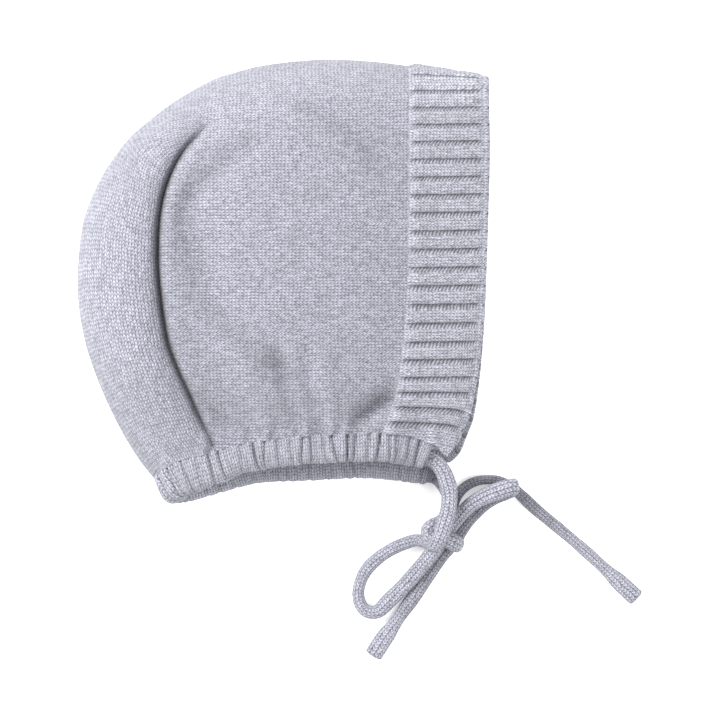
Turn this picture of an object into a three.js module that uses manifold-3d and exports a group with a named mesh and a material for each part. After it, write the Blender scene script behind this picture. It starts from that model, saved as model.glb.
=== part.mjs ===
// Knitted baby bonnet lying on its side, with its drawcord tied in a bow.
// Millimetres, +Z up. X runs from the back of the head to the face, Y from the neck to the crown.
// The near side is on top and the far side lies on the surface at z = 0.
import * as THREE from 'three';
import Module from 'manifold-3d';
import { mergeVertices } from 'three/addons/utils/BufferGeometryUtils.js';

// Driving dimensions
const bonnetLength = 155.8;      // back of the head to the face edge
const bonnetHeight = 168.7;      // lowest point of the neck edge to the top fold
const bonnetThickness = 50;      // highest point of the near side above the surface
const foldHeight = 21;           // height of the outline fold where the bonnet is thickest
const knitWall = 1.8;            // plain knit fabric
const bandWall = 2.2;            // ribbed fabric between two ribs
const ribPitch = 6.7;            // from one rib of the face band to the next
const ribRise = 0.8;             // rib above its groove
const boundEdgeWidth = 2.4;      // plain bound strip along the face edge
const seamDepth = 7.5;           // how deep the back seam sinks below the panels
const casingHeight = 10;         // neck casing, from its joining line to its lower edge
const casingWall = 1.2;
const gatherPitch = 5.4;         // one gather of the casing to the next
const gatherDepth = 0.9;
const cordDiameter = 4.4;
const cordPlay = 0.7;            // room around the cord inside the casing
const tailEndLength = 20;        // flat flared end of each tail
const tailEndWidth = 6.8;
const tailEndThickness = 3;
const knotLength = 19;
const knotWidth = 16.4;
const knotHeight = 17.6;
const clearance = 0.3;           // gap between neighbouring pieces

// Number of rows and columns of the fabric grids
const crownColumns = 18;
const crownRowsNear = 18;
const crownRowsFar = 12;
const crossingRowsNear = 4;
const crossingRowsFar = 3;
const panelRows = 26;
const panelColumnsNear = 8;
const panelColumnsFar = 6;
const stepsPerRib = 3;
const bandRowsFar = 20;
const cordSides = 8;
const cordStep = 1.5 * cordDiameter;
const hiddenCordStep = 1.15 * cordDiameter;

// Plan lines. Each row is a share of the length from the back, and of the height from the lowest edge.
const outlineRows = [
  { back: 0.190, up: 0.050 },
  { back: 0.150, up: 0.096 },
  { back: 0.105, up: 0.164 },
  { back: 0.0585, up: 0.2545 },
  { back: 0.022, up: 0.350 },
  { back: 0.004, up: 0.435 },
  { back: 0.000, up: 0.510 },
  { back: 0.010, up: 0.615 },
  { back: 0.032, up: 0.682 },
  { back: 0.068, up: 0.750 },
  { back: 0.122, up: 0.818 },
  { back: 0.176, up: 0.863 },
  { back: 0.241, up: 0.908 },
  { back: 0.327, up: 0.953 },
  { back: 0.395, up: 0.974 },
  { back: 0.466, up: 0.989 },
  { back: 0.583, up: 1.000 },
  { back: 0.700, up: 0.998 },
  { back: 0.817, up: 0.986 },
  { back: 0.934, up: 0.973 },
  { back: 0.999, up: 0.962 },
];
const faceEdgeRows = [
  { back: 0.912, up: 0.128 },
  { back: 0.938, up: 0.164 },
  { back: 0.956, up: 0.212 },
  { back: 0.972, up: 0.300 },
  { back: 0.984, up: 0.410 },
  { back: 0.992, up: 0.540 },
  { back: 0.997, up: 0.680 },
  { back: 1.000, up: 0.800 },
  { back: 0.998, up: 0.900 },
  { back: 0.999, up: 0.962 },
];
const junctionRows = [
  { back: 0.765, up: 0.158 },
  { back: 0.785, up: 0.250 },
  { back: 0.800, up: 0.420 },
  { back: 0.806, up: 0.600 },
  { back: 0.808, up: 0.800 },
  { back: 0.807, up: 0.987 },
];
const seamRows = [
  { back: 0.332, up: 0.133 },
  { back: 0.295, up: 0.203 },
  { back: 0.271, up: 0.255 },
  { back: 0.244, up: 0.311 },
  { back: 0.222, up: 0.374 },
  { back: 0.205, up: 0.484 },
  { back: 0.201, up: 0.570 },
  { back: 0.207, up: 0.655 },
  { back: 0.227, up: 0.727 },
  { back: 0.261, up: 0.788 },
  { back: 0.310, up: 0.838 },
  { back: 0.333, up: 0.858 },
];
const neckNearRows = [
  { back: 0.190, up: 0.050, turn: 44 },
  { back: 0.214, up: 0.076, turn: 36 },
  { back: 0.255, up: 0.096, turn: 22 },
  { back: 0.310, up: 0.108, turn: 12 },
  { back: 0.380, up: 0.128, turn: 6 },
  { back: 0.470, up: 0.142, turn: 2 },
  { back: 0.578, up: 0.151, turn: 0 },
  { back: 0.734, up: 0.158, turn: 0 },
  { back: 0.802, up: 0.154, turn: -4 },
  { back: 0.872, up: 0.131, turn: -14 },
];
const neckFarRows = [
  { back: 0.190, up: 0.050, turn: 44 },
  { back: 0.224, up: 0.056, turn: 40 },
  { back: 0.285, up: 0.064, turn: 28 },
  { back: 0.345, up: 0.078, turn: 14 },
  { back: 0.437, up: 0.101, turn: 2 },
  { back: 0.554, up: 0.106, turn: 0 },
  { back: 0.700, up: 0.112, turn: 0 },
  { back: 0.802, up: 0.104, turn: -6 },
  { back: 0.866, up: 0.090, turn: -14 },
];

// How thick the bonnet stands along its length and up its height, as shares of the thickness
const puffAlong = [
  { at: 0.00, share: 0.78 },
  { at: 0.22, share: 0.92 },
  { at: 0.45, share: 1.00 },
  { at: 0.65, share: 0.93 },
  { at: 0.82, share: 0.76 },
  { at: 1.00, share: 0.56 },
];
const puffUp = [
  { at: 0.00, share: 0.48 },
  { at: 0.15, share: 0.60 },
  { at: 0.30, share: 0.86 },
  { at: 0.50, share: 1.00 },
  { at: 0.72, share: 0.97 },
  { at: 0.90, share: 0.82 },
  { at: 1.00, share: 0.64 },
];

// How far the fabric sinks beside the back seam, by distance from it, as shares of the seam's depth
const seamOnCrown = [
  { away: 0.0, share: 1.00 },
  { away: 1.2, share: 0.52 },
  { away: 3.0, share: 0.16 },
  { away: 5.5, share: 0.00 },
  { away: 11.0, share: 0.20 },
  { away: 17.0, share: 0.10 },
  { away: 26.0, share: 0.00 },
];
const seamOnPanel = [
  { away: 0.0, share: 1.00 },
  { away: 2.0, share: 0.62 },
  { away: 5.0, share: 0.34 },
  { away: 9.0, share: 0.14 },
  { away: 15.0, share: 0.03 },
  { away: 22.0, share: 0.00 },
];
// The seam starts shallow at the top and is deepest along the back, by its share of the way up
const seamStrength = [
  { at: 0.00, share: 0.45 },
  { at: 0.12, share: 0.90 },
  { at: 0.40, share: 1.00 },
  { at: 0.75, share: 0.90 },
  { at: 0.85, share: 0.55 },
  { at: 0.93, share: 0.16 },
  { at: 1.00, share: 0.00 },
];

// Folds of the near side: a ridge with a hollow beside it, from one end to the other
const foldRows = [
  { fromBack: 0.36, fromUp: 0.34, toBack: 0.45, toUp: 0.15, width: 4.0, depth: 1.7 },
  { fromBack: 0.50, fromUp: 0.39, toBack: 0.58, toUp: 0.16, width: 3.2, depth: 2.2 },
  { fromBack: 0.76, fromUp: 0.23, toBack: 0.64, toUp: 0.15, width: 4.0, depth: 3.4 },
];
// Soft round dents of the near side
const dentRows = [
  { back: 0.43, up: 0.82, along: 0.10, across: 0.05, turn: 50, depth: 2.2 },
  { back: 0.66, up: 0.83, along: 0.16, across: 0.04, turn: -28, depth: 1.8 },
  { back: 0.28, up: 0.40, along: 0.14, across: 0.05, turn: -68, depth: 2.0 },
  { back: 0.50, up: 0.27, along: 0.10, across: 0.035, turn: -72, depth: 2.0 },
];

// The bow's cord, chosen by hand: route points from the casing's mouths through the loops to the tails
const tieNearRoute = [
  [58.0, -68.0, 16.0], [60.8, -70.6, 15.5], [62.8, -75.2, 15.4], [63.6, -80.2, 15.6], [63.6, -85.4, 15.4],
  [62.4, -91.0, 13.6],
];
const tieFarRoute = [
  [58.4, -75.2, 4.2], [60.4, -77.6, 4.3], [60.6, -81.4, 5.2], [59.2, -85.6, 6.8], [57.6, -90.0, 8.0],
];
const loopLeftRoute = [
  [57.0, -98.4, 4.4], [50.5, -99.2, 3.0], [44.0, -102.2, 2.6], [37.2, -106.0, 2.6], [31.6, -112.0, 2.6],
  [29.2, -119.4, 2.6], [31.6, -124.8, 2.8], [36.0, -125.4, 3.0], [40.4, -121.4, 3.4], [44.8, -116.4, 4.0],
  [49.4, -111.4, 5.0], [54.0, -106.8, 6.4], [58.6, -101.6, 7.4],
];
const loopRightRoute = [
  [66.4, -97.6, 7.0], [68.6, -93.4, 5.4], [72.4, -90.2, 4.6], [77.2, -86.4, 4.6], [82.4, -83.4, 5.6],
  [87.4, -81.0, 7.4], [89.8, -78.2, 8.8], [87.6, -76.6, 9.8], [82.4, -78.6, 10.2], [76.2, -81.2, 10.0],
  [70.4, -85.4, 9.8], [66.2, -90.8, 9.4],
];
const tailARoute = [
  [64.4, -102.4, 5.4], [61.6, -107.4, 3.4], [58.4, -112.8, 2.5], [54.4, -117.2, 2.4], [50.6, -121.4, 2.4],
  [46.8, -125.6, 2.4], [45.0, -128.0, 2.4],
];
const tailBRoute = [
  [65.2, -88.6, 4.0], [65.6, -83.4, 2.8], [67.6, -79.4, 2.4], [71.6, -76.6, 2.4], [77.0, -75.4, 2.4],
  [82.6, -76.0, 2.4], [87.8, -78.4, 2.4], [91.6, -82.2, 2.4], [96.6, -86.8, 2.4], [101.6, -90.8, 2.4],
  [110.0, -98.0, 2.4], [118.0, -105.4, 2.4], [122.4, -110.0, 2.4],
];
const knotPlace = { x: 61.2, y: -95.8, turn: -18 };

// Length of the short line from the seam's top to the outline, and the casing's share of the band's width
const crossingLength = 28;
const neckShareOfBand = 0.62;
// Lower front corner of the far side
const faceCornerFar = { back: 0.908, up: 0.086 };
const casingThickness = cordDiameter + 2 * cordPlay + 2 * casingWall;
const tailRest = 0.2;
const knotSides = 14;

// Casing section: a flat octagon outside and a rectangle inside, as shares of its half height and thickness
const casingSection = [
  { down: -1.0, out: 0.65 }, { down: -0.65, out: 1.0 }, { down: 0.6, out: 1.0 }, { down: 1.0, out: 0.5 },
  { down: 1.0, out: -0.5 }, { down: 0.6, out: -1.0 }, { down: -0.65, out: -1.0 }, { down: -1.0, out: -0.65 },
];
const channelSection = [
  { down: -1, out: 1 }, { down: 1, out: 1 }, { down: 1, out: -1 }, { down: -1, out: -1 },
];
// Gathers of the casing, in the order in which they repeat
const gatherRows = [
  { depth: 1.0 }, { depth: 0.6 }, { depth: 0.9 }, { depth: 0.4 }, { depth: 0.8 },
];
// Flat end of a tail, from the cord to its cut end, as shares of its length, width and thickness
const tailEndRows = [
  { at: 0.00, width: 0.68, thickness: 1.00 },
  { at: 0.25, width: 0.86, thickness: 1.00 },
  { at: 0.60, width: 1.00, thickness: 0.95 },
  { at: 0.94, width: 1.00, thickness: 0.90 },
  { at: 1.00, width: 0.80, thickness: 0.60 },
];
const knitColor = '#b8b9c6';
const panelColor = '#cbcbd5';
const bandColor = '#b4b6c2';
const cordColor = '#b8b9c4';
const knitRoughness = 0.92;
const cordRoughness = 0.9;

// Share of a table's column at a place, on a smooth curve through its rows
function tableCurve(rows, placeName, valueName) {
  return new THREE.SplineCurve(rows.map((row) => new THREE.Vector2(row[placeName], row[valueName])));
}

const curveSamples = 160;

function sampledTable(rows, placeName, valueName) {
  const points = tableCurve(rows, placeName, valueName).getPoints(curveSamples);
  return (place) => {
    if (place <= points[0].x) {
      return points[0].y;
    }
    for (let i = 1; i < points.length; i += 1) {
      if (place <= points[i].x) {
        const part = (place - points[i - 1].x) / Math.max(points[i].x - points[i - 1].x, 1e-9);
        return THREE.MathUtils.lerp(points[i - 1].y, points[i].y, part);
      }
    }
    return points[points.length - 1].y;
  };
}

// Plan position of a table row, with the origin under the middle of the bonnet
function planPoint(back, up) {
  return new THREE.Vector2((back - 0.5) * bonnetLength, (up - 0.5) * bonnetHeight);
}

function planCurve(rows) {
  return new THREE.SplineCurve(rows.map((row) => planPoint(row.back, row.up)));
}

const outline = planCurve(outlineRows);
const faceEdge = planCurve(faceEdgeRows);
const junction = planCurve(junctionRows);
const seam = planCurve(seamRows);
const neckNear = planCurve(neckNearRows);
const neckFar = planCurve(neckFarRows);
const outlinePoints = outline.getSpacedPoints(curveSamples);
const seamPoints = seam.getSpacedPoints(curveSamples);

// Distance from a plan point to a line of points, its share of the way along, and on which side it lies
function nearestOn(points, x, y) {
  let best = Infinity;
  let along = 0;
  let side = 1;
  for (let i = 1; i < points.length; i += 1) {
    const dx = points[i].x - points[i - 1].x;
    const dy = points[i].y - points[i - 1].y;
    const px = x - points[i - 1].x;
    const py = y - points[i - 1].y;
    const share = THREE.MathUtils.clamp((px * dx + py * dy) / (dx * dx + dy * dy), 0, 1);
    const away = Math.hypot(px - share * dx, py - share * dy);
    if (away < best) {
      best = away;
      along = (i - 1 + share) / (points.length - 1);
      side = dx * py - dy * px > 0 ? 1 : -1;
    }
  }
  return { away: best, along, side };
}

const puffAlongAt = sampledTable(puffAlong, 'at', 'share');
const puffUpAt = sampledTable(puffUp, 'at', 'share');
const seamOnCrownAt = sampledTable(seamOnCrown, 'away', 'share');
const seamOnPanelAt = sampledTable(seamOnPanel, 'away', 'share');
const seamStrengthAt = sampledTable(seamStrength, 'at', 'share');

// Share of the full thickness at a plan point
function puffAt(x, y) {
  return puffAlongAt(x / bonnetLength + 0.5) * puffUpAt(y / bonnetHeight + 0.5);
}

// Quarter round of the outline fold: 0 on the outline, 1 once past its width
function roundOver(away, width) {
  const share = Math.min(away / width, 1);
  return Math.sqrt(1 - (1 - share) * (1 - share));
}

function seamSink(x, y) {
  const near = nearestOn(seamPoints, x, y);
  const table = near.side < 0 ? seamOnCrownAt : seamOnPanelAt;
  return seamDepth * seamStrengthAt(near.along) * table(near.away);
}

// A fold's ridge and hollow, as shares of its width either side of its line, and its full stretch along it
const ridgeShare = 0.6;
const ridgePlace = 0.9;
const hollowPlace = 0.6;
const foldMiddle = 0.55;
const foldReach = 0.3;
const foldFade = 0.22;

function foldLift(x, y) {
  let lift = 0;
  for (const fold of foldRows) {
    const from = planPoint(fold.fromBack, fold.fromUp);
    const to = planPoint(fold.toBack, fold.toUp);
    const length = from.distanceTo(to);
    const ax = (to.x - from.x) / length;
    const ay = (to.y - from.y) / length;
    const along = ((x - from.x) * ax + (y - from.y) * ay) / length;
    const across = ((x - from.x) * ay - (y - from.y) * ax) / fold.width;
    const beyond = Math.max(0, Math.abs(along - foldMiddle) - foldReach);
    const fade = Math.exp(-Math.pow(beyond / foldFade, 2));
    const ridge = ridgeShare * Math.exp(-Math.pow(across + ridgePlace, 2));
    const hollow = Math.exp(-Math.pow(across - hollowPlace, 2));
    lift += fold.depth * fade * (ridge - hollow);
  }
  return lift;
}

function dentSink(x, y) {
  let sink = 0;
  for (const dent of dentRows) {
    const centre = planPoint(dent.back, dent.up);
    const angle = THREE.MathUtils.degToRad(dent.turn);
    const place = new THREE.Vector2(x, y).rotateAround(centre, -angle).sub(centre);
    const along = place.x / (dent.along * bonnetLength);
    const across = place.y / (dent.across * bonnetLength);
    sink += dent.depth * Math.exp(-(along * along) - across * across);
  }
  return sink;
}

// Outer surface of the fabric over a plan point, on the near side or the far side
function surfacePoint(plan, isNear) {
  const puff = puffAt(plan.x, plan.y);
  const fold = foldHeight * puff;
  const away = nearestOn(outlinePoints, plan.x, plan.y).away;
  if (!isNear) {
    return new THREE.Vector3(plan.x, plan.y, fold * (1 - roundOver(away, fold)));
  }
  const top = bonnetThickness * puff;
  const roll = roundOver(away, 1.15 * (top - fold));
  const relief = foldLift(plan.x, plan.y) - dentSink(plan.x, plan.y) - seamSink(plan.x, plan.y);
  return new THREE.Vector3(plan.x, plan.y, fold + (top - fold) * roll + relief * Math.min(1, away / 8));
}

// Four-sided plan patch between a lower, upper, back and front line, each from 0 to 1
function planPatch(lower, upper, back, front) {
  return (u, v) => {
    const point = new THREE.Vector2();
    const add = (p, weight) => {
      point.x += p.x * weight;
      point.y += p.y * weight;
    };
    add(lower(u), 1 - v);
    add(upper(u), v);
    add(back(v), 1 - u);
    add(front(v), u);
    add(lower(0), -(1 - u) * (1 - v));
    add(lower(1), -u * (1 - v));
    add(upper(0), -(1 - u) * v);
    add(upper(1), -u * v);
    return point;
  };
}

// Part of a curve, by length, from one share of it to another
function stretch(curve, from, to) {
  return (share) => curve.getPointAt(THREE.MathUtils.clamp(THREE.MathUtils.lerp(from, to, share), 0, 1));
}

// A curve with its two ends drawn onto given points
function drawnTo(curve, start, end) {
  const first = start.clone().sub(curve.getPointAt(0));
  const last = end.clone().sub(curve.getPointAt(1));
  return (share) => curve.getPointAt(THREE.MathUtils.clamp(share, 0, 1))
    .addScaledVector(first, (1 - share) * (1 - share))
    .addScaledVector(last, share * share);
}

// Line through two lines in turn, the first taking its share of the way
function chained(first, second, split) {
  return (share) => (share < split ? first(share / split) : second((share - split) / (1 - split)));
}

function shareNear(curve, point) {
  return nearestOn(curve.getSpacedPoints(curveSamples), point.x, point.y).along;
}

// Where the seam, the junction and the neck lines meet the outline and each other
const junctionOnOutline = shareNear(outline, junction.getPoint(1));
const panelTopOnOutline = shareNear(outline, planPoint(0.262, 0.920));
const seamOnNeckNear = shareNear(neckNear, seam.getPoint(0));
const junctionOnNeckNear = shareNear(neckNear, junction.getPoint(0));
const seamOnNeckFar = shareNear(neckFar, seam.getPoint(0));
const junctionOnNeckFar = shareNear(neckFar, junction.getPoint(0));

const junctionTop = outline.getPointAt(junctionOnOutline);
const seamNear = drawnTo(seam, neckNear.getPointAt(seamOnNeckNear), seam.getPointAt(1));
const seamFar = drawnTo(seam, neckFar.getPointAt(seamOnNeckFar), seam.getPointAt(1));
const junctionNear = drawnTo(junction, neckNear.getPointAt(junctionOnNeckNear), junctionTop);
const junctionFar = drawnTo(junction, neckFar.getPointAt(junctionOnNeckFar), junctionTop);

const straight = (from, to) => (share) => new THREE.Vector2().lerpVectors(from, to, share);

// Evenly spaced rows over a section of the surface, from its start to its end
function evenRows(section, count) {
  const fine = 90;
  const points = [];
  const lengths = [0];
  for (let k = 0; k <= fine; k += 1) {
    points.push(section(k / fine));
    if (k > 0) {
      lengths.push(lengths[k - 1] + points[k].distanceTo(points[k - 1]));
    }
  }
  const rows = [];
  let k = 1;
  for (let row = 0; row <= count; row += 1) {
    const target = (lengths[fine] * row) / count;
    while (k < fine && lengths[k] < target) {
      k += 1;
    }
    const part = (target - lengths[k - 1]) / Math.max(lengths[k] - lengths[k - 1], 1e-9);
    rows.push((k - 1 + part) / fine);
  }
  return { rows, length: lengths[fine] };
}

// Points of a fabric grid, column by column: up the near side, over the outline and down the far side.
// Each stretch of a column says from which share of the patch to which it runs, and in how many rows.
function wrapGrid(patchNear, patchFar, columnShares, stretchesNear, stretchesFar) {
  return columnShares.map((u) => {
    const column = [];
    const addStretch = (patch, isNear, { from, to, rows }) => {
      const section = (share) => surfacePoint(patch(u, THREE.MathUtils.lerp(from, to, share)), isNear);
      const points = evenRows(section, rows).rows.map(section);
      column.push(...(column.length > 0 ? points.slice(1) : points));
    };
    stretchesNear.forEach((part) => addStretch(patchNear, true, part));
    stretchesFar.forEach((part) => addStretch(patchFar, false, part));
    return column;
  });
}

// Outward direction at each point of a grid
function gridNormals(grid) {
  return grid.map((column, i) => column.map((point, j) => {
    const before = grid[Math.max(i - 1, 0)][j];
    const after = grid[Math.min(i + 1, grid.length - 1)][j];
    const below = column[Math.max(j - 1, 0)];
    const above = column[Math.min(j + 1, column.length - 1)];
    const across = new THREE.Vector3().subVectors(after, before);
    return across.cross(new THREE.Vector3().subVectors(above, below)).normalize();
  }));
}

function insideOf(grid, wall) {
  const normals = gridNormals(grid);
  const inward = (point, i, j) => point.clone().addScaledVector(normals[i][j], -wall);
  return grid.map((column, i) => column.map((point, j) => inward(point, i, j)));
}

function geometryOf(vertices, triangles) {
  const geometry = new THREE.BufferGeometry();
  const numbers = vertices.flatMap((point) => point.toArray());
  geometry.setAttribute('position', new THREE.Float32BufferAttribute(numbers, 3));
  geometry.setIndex(triangles);
  return geometry;
}

// Closed wall between an outer grid and an inner grid of the same size
function wallBetween(outer, inner) {
  const columns = outer.length;
  const rows = outer[0].length;
  const vertices = [...outer.flat(), ...inner.flat()];
  const triangles = [];
  const out = (i, j) => i * rows + j;
  const inn = (i, j) => columns * rows + i * rows + j;
  const quad = (a, b, c, d) => triangles.push(a, b, c, a, c, d);
  for (let i = 0; i < columns - 1; i += 1) {
    for (let j = 0; j < rows - 1; j += 1) {
      quad(out(i, j), out(i + 1, j), out(i + 1, j + 1), out(i, j + 1));
      quad(inn(i, j), inn(i, j + 1), inn(i + 1, j + 1), inn(i + 1, j));
    }
    quad(out(i, 0), inn(i, 0), inn(i + 1, 0), out(i + 1, 0));
    quad(out(i, rows - 1), out(i + 1, rows - 1), inn(i + 1, rows - 1), inn(i, rows - 1));
  }
  for (let j = 0; j < rows - 1; j += 1) {
    quad(out(0, j), out(0, j + 1), inn(0, j + 1), inn(0, j));
    quad(out(columns - 1, j), inn(columns - 1, j), inn(columns - 1, j + 1), out(columns - 1, j + 1));
  }
  return geometryOf(vertices, triangles);
}

// Crown: both side panels and the top, from the back seam to the face band
const panelTop = outline.getPointAt(panelTopOnOutline);
const crossing = straight(seam.getPoint(1), panelTop);
const seamShareOfBack = 0.9;

function crownGrid() {
  const backNear = chained(seamNear, crossing, seamShareOfBack);
  const backFar = chained(seamFar, crossing, seamShareOfBack);
  const upper = stretch(outline, panelTopOnOutline, junctionOnOutline);
  const lowerNear = stretch(neckNear, seamOnNeckNear, junctionOnNeckNear);
  const lowerFar = stretch(neckFar, seamOnNeckFar, junctionOnNeckFar);
  const near = planPatch(lowerNear, upper, backNear, junctionNear);
  const far = planPatch(lowerFar, upper, backFar, junctionFar);
  const edge = clearance / (bonnetLength / 2);
  const shares = [];
  for (let i = 0; i <= crownColumns; i += 1) {
    shares.push(THREE.MathUtils.lerp(edge, 1 - edge, Math.pow(i / crownColumns, 1.6)));
  }
  const stretchesNear = [
    { from: 0, to: seamShareOfBack, rows: crownRowsNear },
    { from: seamShareOfBack, to: 1, rows: crossingRowsNear },
  ];
  const stretchesFar = [
    { from: 1, to: seamShareOfBack, rows: crossingRowsFar },
    { from: seamShareOfBack, to: 0, rows: crownRowsFar },
  ];
  return wrapGrid(near, far, shares, stretchesNear, stretchesFar);
}

// Back panel: the strip from the top of the head to the nape, between its two seams
function backPanelGrid() {
  const upper = stretch(outline, 0, panelTopOnOutline);
  const near = planPatch(seamNear, upper, stretch(neckNear, seamOnNeckNear, 0), crossing);
  const far = planPatch(seamFar, upper, stretch(neckFar, seamOnNeckFar, 0), crossing);
  const edge = (2 * clearance) / bonnetHeight;
  const shares = [];
  for (let i = 0; i <= panelRows; i += 1) {
    shares.push(((1 - edge) * i) / panelRows);
  }
  const seamEdge = clearance / crossingLength;
  const stretchesNear = [{ from: seamEdge, to: 1, rows: panelColumnsNear }];
  const stretchesFar = [{ from: 1, to: seamEdge, rows: panelColumnsFar }];
  return wrapGrid(near, far, shares, stretchesNear, stretchesFar);
}

// Face band: ribs that run from the crown to the plain bound face edge
function faceBandGrid() {
  const upper = stretch(outline, junctionOnOutline, 1);
  const cornerNear = faceEdge.getPointAt(0);
  const cornerFar = planPoint(faceCornerFar.back, faceCornerFar.up);
  const faceFar = drawnTo(faceEdge, cornerFar, faceEdge.getPointAt(1));
  const alongNear = stretch(neckNear, junctionOnNeckNear, 1);
  const alongFar = stretch(neckFar, junctionOnNeckFar, 1);
  const lowerNear = chained(alongNear, straight(neckNear.getPointAt(1), cornerNear), neckShareOfBand);
  const lowerFar = chained(alongFar, straight(neckFar.getPointAt(1), cornerFar), neckShareOfBand);
  const near = planPatch(lowerNear, upper, junctionNear, stretch(faceEdge, 0, 1));
  const far = planPatch(lowerFar, upper, junctionFar, faceFar);
  const width = junction.getPointAt(0.5).distanceTo(faceEdge.getPointAt(0.5));
  const edge = clearance / width;
  const bound = 1 - boundEdgeWidth / width;
  const shares = [edge, neckShareOfBand, bound, 1];
  const nearLength = evenRows((v) => surfacePoint(near(0.5, v), true), 1).length;
  const rowsNear = stepsPerRib * Math.round(nearLength / ribPitch);
  const stretchesNear = [{ from: 0, to: 1, rows: rowsNear }];
  const stretchesFar = [{ from: 1, to: 0, rows: bandRowsFar }];
  return { grid: wrapGrid(near, far, shares, stretchesNear, stretchesFar), rowsNear };
}

// Ribs stand proud between their grooves, run out at the bound edge and lie pressed flat on the far side
function withRibs(grid, rowsNear) {
  const normals = gridNormals(grid);
  return grid.map((column, i) => column.map((point, j) => {
    const isGroove = j % stepsPerRib === 0;
    const isBound = i === grid.length - 1;
    const ribShare = isBound ? 0.5 : isGroove ? 0 : 1;
    const rise = j < rowsNear ? ribRise * ribShare : 0;
    return point.clone().addScaledVector(normals[i][j], rise);
  }));
}

// Border of the fabric grids along the neck: mid-wall points with the direction in which the casing hangs
const turnNearAt = sampledTable(neckNearRows, 'back', 'turn');
const turnFarAt = sampledTable(neckFarRows, 'back', 'turn');

function neckBorder(outer, inner, turnAt) {
  return outer.map((point, k) => {
    const angle = THREE.MathUtils.degToRad(turnAt(point.x / bonnetLength + 0.5));
    const outward = new THREE.Vector3().subVectors(point, inner[k]).normalize();
    const down = new THREE.Vector3(Math.sin(angle), -Math.cos(angle), 0);
    return { point, outward, down };
  });
}

// Stations along the casing, from the near mouth round the nape to the far mouth
function casingStations(borders) {
  const path = new THREE.CatmullRomCurve3(borders.map((border) => border.point));
  const outward = new THREE.CatmullRomCurve3(borders.map((border) => border.outward));
  const down = new THREE.CatmullRomCurve3(borders.map((border) => border.down));
  const count = 2 * Math.round(path.getLength() / gatherPitch);
  const stations = [];
  for (let k = 0; k <= count; k += 1) {
    const t = path.getUtoTmapping(k / count);
    const along = path.getTangent(t);
    const hang = down.getPoint(t).addScaledVector(along, -down.getPoint(t).dot(along)).normalize();
    const out = new THREE.Vector3().crossVectors(hang, along).normalize();
    if (out.dot(outward.getPoint(t)) < 0) {
      out.negate();
    }
    const centre = path.getPoint(t).addScaledVector(hang, clearance + casingHeight / 2);
    centre.addScaledVector(out, -casingThickness / 2);
    centre.z = Math.max(centre.z, casingThickness / 2 + gatherDepth / 2);
    stations.push({ centre, hang, out, along });
  }
  return stations;
}

function stationPoint(station, downShare, outShare, halfHeight, halfThickness) {
  const point = station.centre.clone().addScaledVector(station.hang, downShare * halfHeight);
  return point.addScaledVector(station.out, outShare * halfThickness);
}

// Neck casing: a gathered sleeve with an open mouth at each end
function neckCasingGeometry(stations) {
  const outerCount = casingSection.length;
  const innerCount = outerCount / 2;
  const vertices = [];
  stations.forEach((station, k) => {
    const gather = gatherRows[Math.floor(k / 2) % gatherRows.length];
    const swell = (k % 2 === 0 ? -0.5 : 0.5) * gatherDepth * gather.depth;
    for (const corner of casingSection) {
      const halfHeight = casingHeight / 2 + (corner.down > 0 ? 0.6 * swell : 0);
      vertices.push(stationPoint(station, corner.down, corner.out, halfHeight, casingThickness / 2 + swell));
    }
    for (let c = 0; c < innerCount; c += 1) {
      const corner = channelSection[c];
      const halfHeight = casingHeight / 2 - casingWall;
      vertices.push(stationPoint(station, corner.down, corner.out, halfHeight, cordDiameter / 2 + cordPlay));
    }
  });
  const ring = outerCount + innerCount;
  const last = stations.length - 1;
  const triangles = [];
  const quad = (a, b, c, d) => triangles.push(a, b, c, a, c, d);
  const out = (k, c) => k * ring + (c % outerCount);
  const inn = (k, c) => k * ring + outerCount + (c % innerCount);
  for (let k = 0; k < last; k += 1) {
    for (let c = 0; c < outerCount; c += 1) {
      quad(out(k, c), out(k, c + 1), out(k + 1, c + 1), out(k + 1, c));
    }
    for (let c = 0; c < innerCount; c += 1) {
      quad(inn(k, c), inn(k + 1, c), inn(k + 1, c + 1), inn(k, c + 1));
    }
  }
  for (let c = 0; c < innerCount; c += 1) {
    for (const [k, flip] of [[0, false], [last, true]]) {
      const faces = [
        [out(k, 2 * c), inn(k, c), out(k, 2 * c + 1)],
        [out(k, 2 * c + 1), inn(k, c), inn(k, c + 1)],
        [out(k, 2 * c + 1), inn(k, c + 1), out(k, 2 * c + 2)],
      ];
      faces.forEach((face) => triangles.push(...(flip ? face.reverse() : face)));
    }
  }
  return facingOut(geometryOf(vertices, triangles));
}

// Turns a closed geometry's faces outward where its rings run the other way round
function facingOut(geometry) {
  const position = geometry.getAttribute('position');
  const index = geometry.getIndex().array;
  const corner = (k) => new THREE.Vector3().fromBufferAttribute(position, index[k]);
  let volume = 0;
  for (let k = 0; k < index.length; k += 3) {
    volume += corner(k).dot(corner(k + 1).cross(corner(k + 2)));
  }
  if (volume < 0) {
    for (let k = 0; k < index.length; k += 3) {
      [index[k], index[k + 1]] = [index[k + 1], index[k]];
    }
  }
  return geometry;
}

// Stretch of a longer curve between two lengths along it
class CurveStretch extends THREE.Curve {
  constructor(base, from, to) {
    super();
    this.base = base;
    this.from = from / base.getLength();
    this.to = to / base.getLength();
  }

  getPoint(t) {
    return this.base.getPointAt(THREE.MathUtils.clamp(THREE.MathUtils.lerp(this.from, this.to, t), 0, 1));
  }
}

function cordSection(radius) {
  const corners = [];
  for (let k = 0; k < cordSides; k += 1) {
    const angle = ((k + 0.5) * 2 * Math.PI) / cordSides;
    corners.push(new THREE.Vector2(Math.cos(angle), Math.sin(angle)).multiplyScalar(radius));
  }
  return new THREE.Shape(corners);
}

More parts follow.
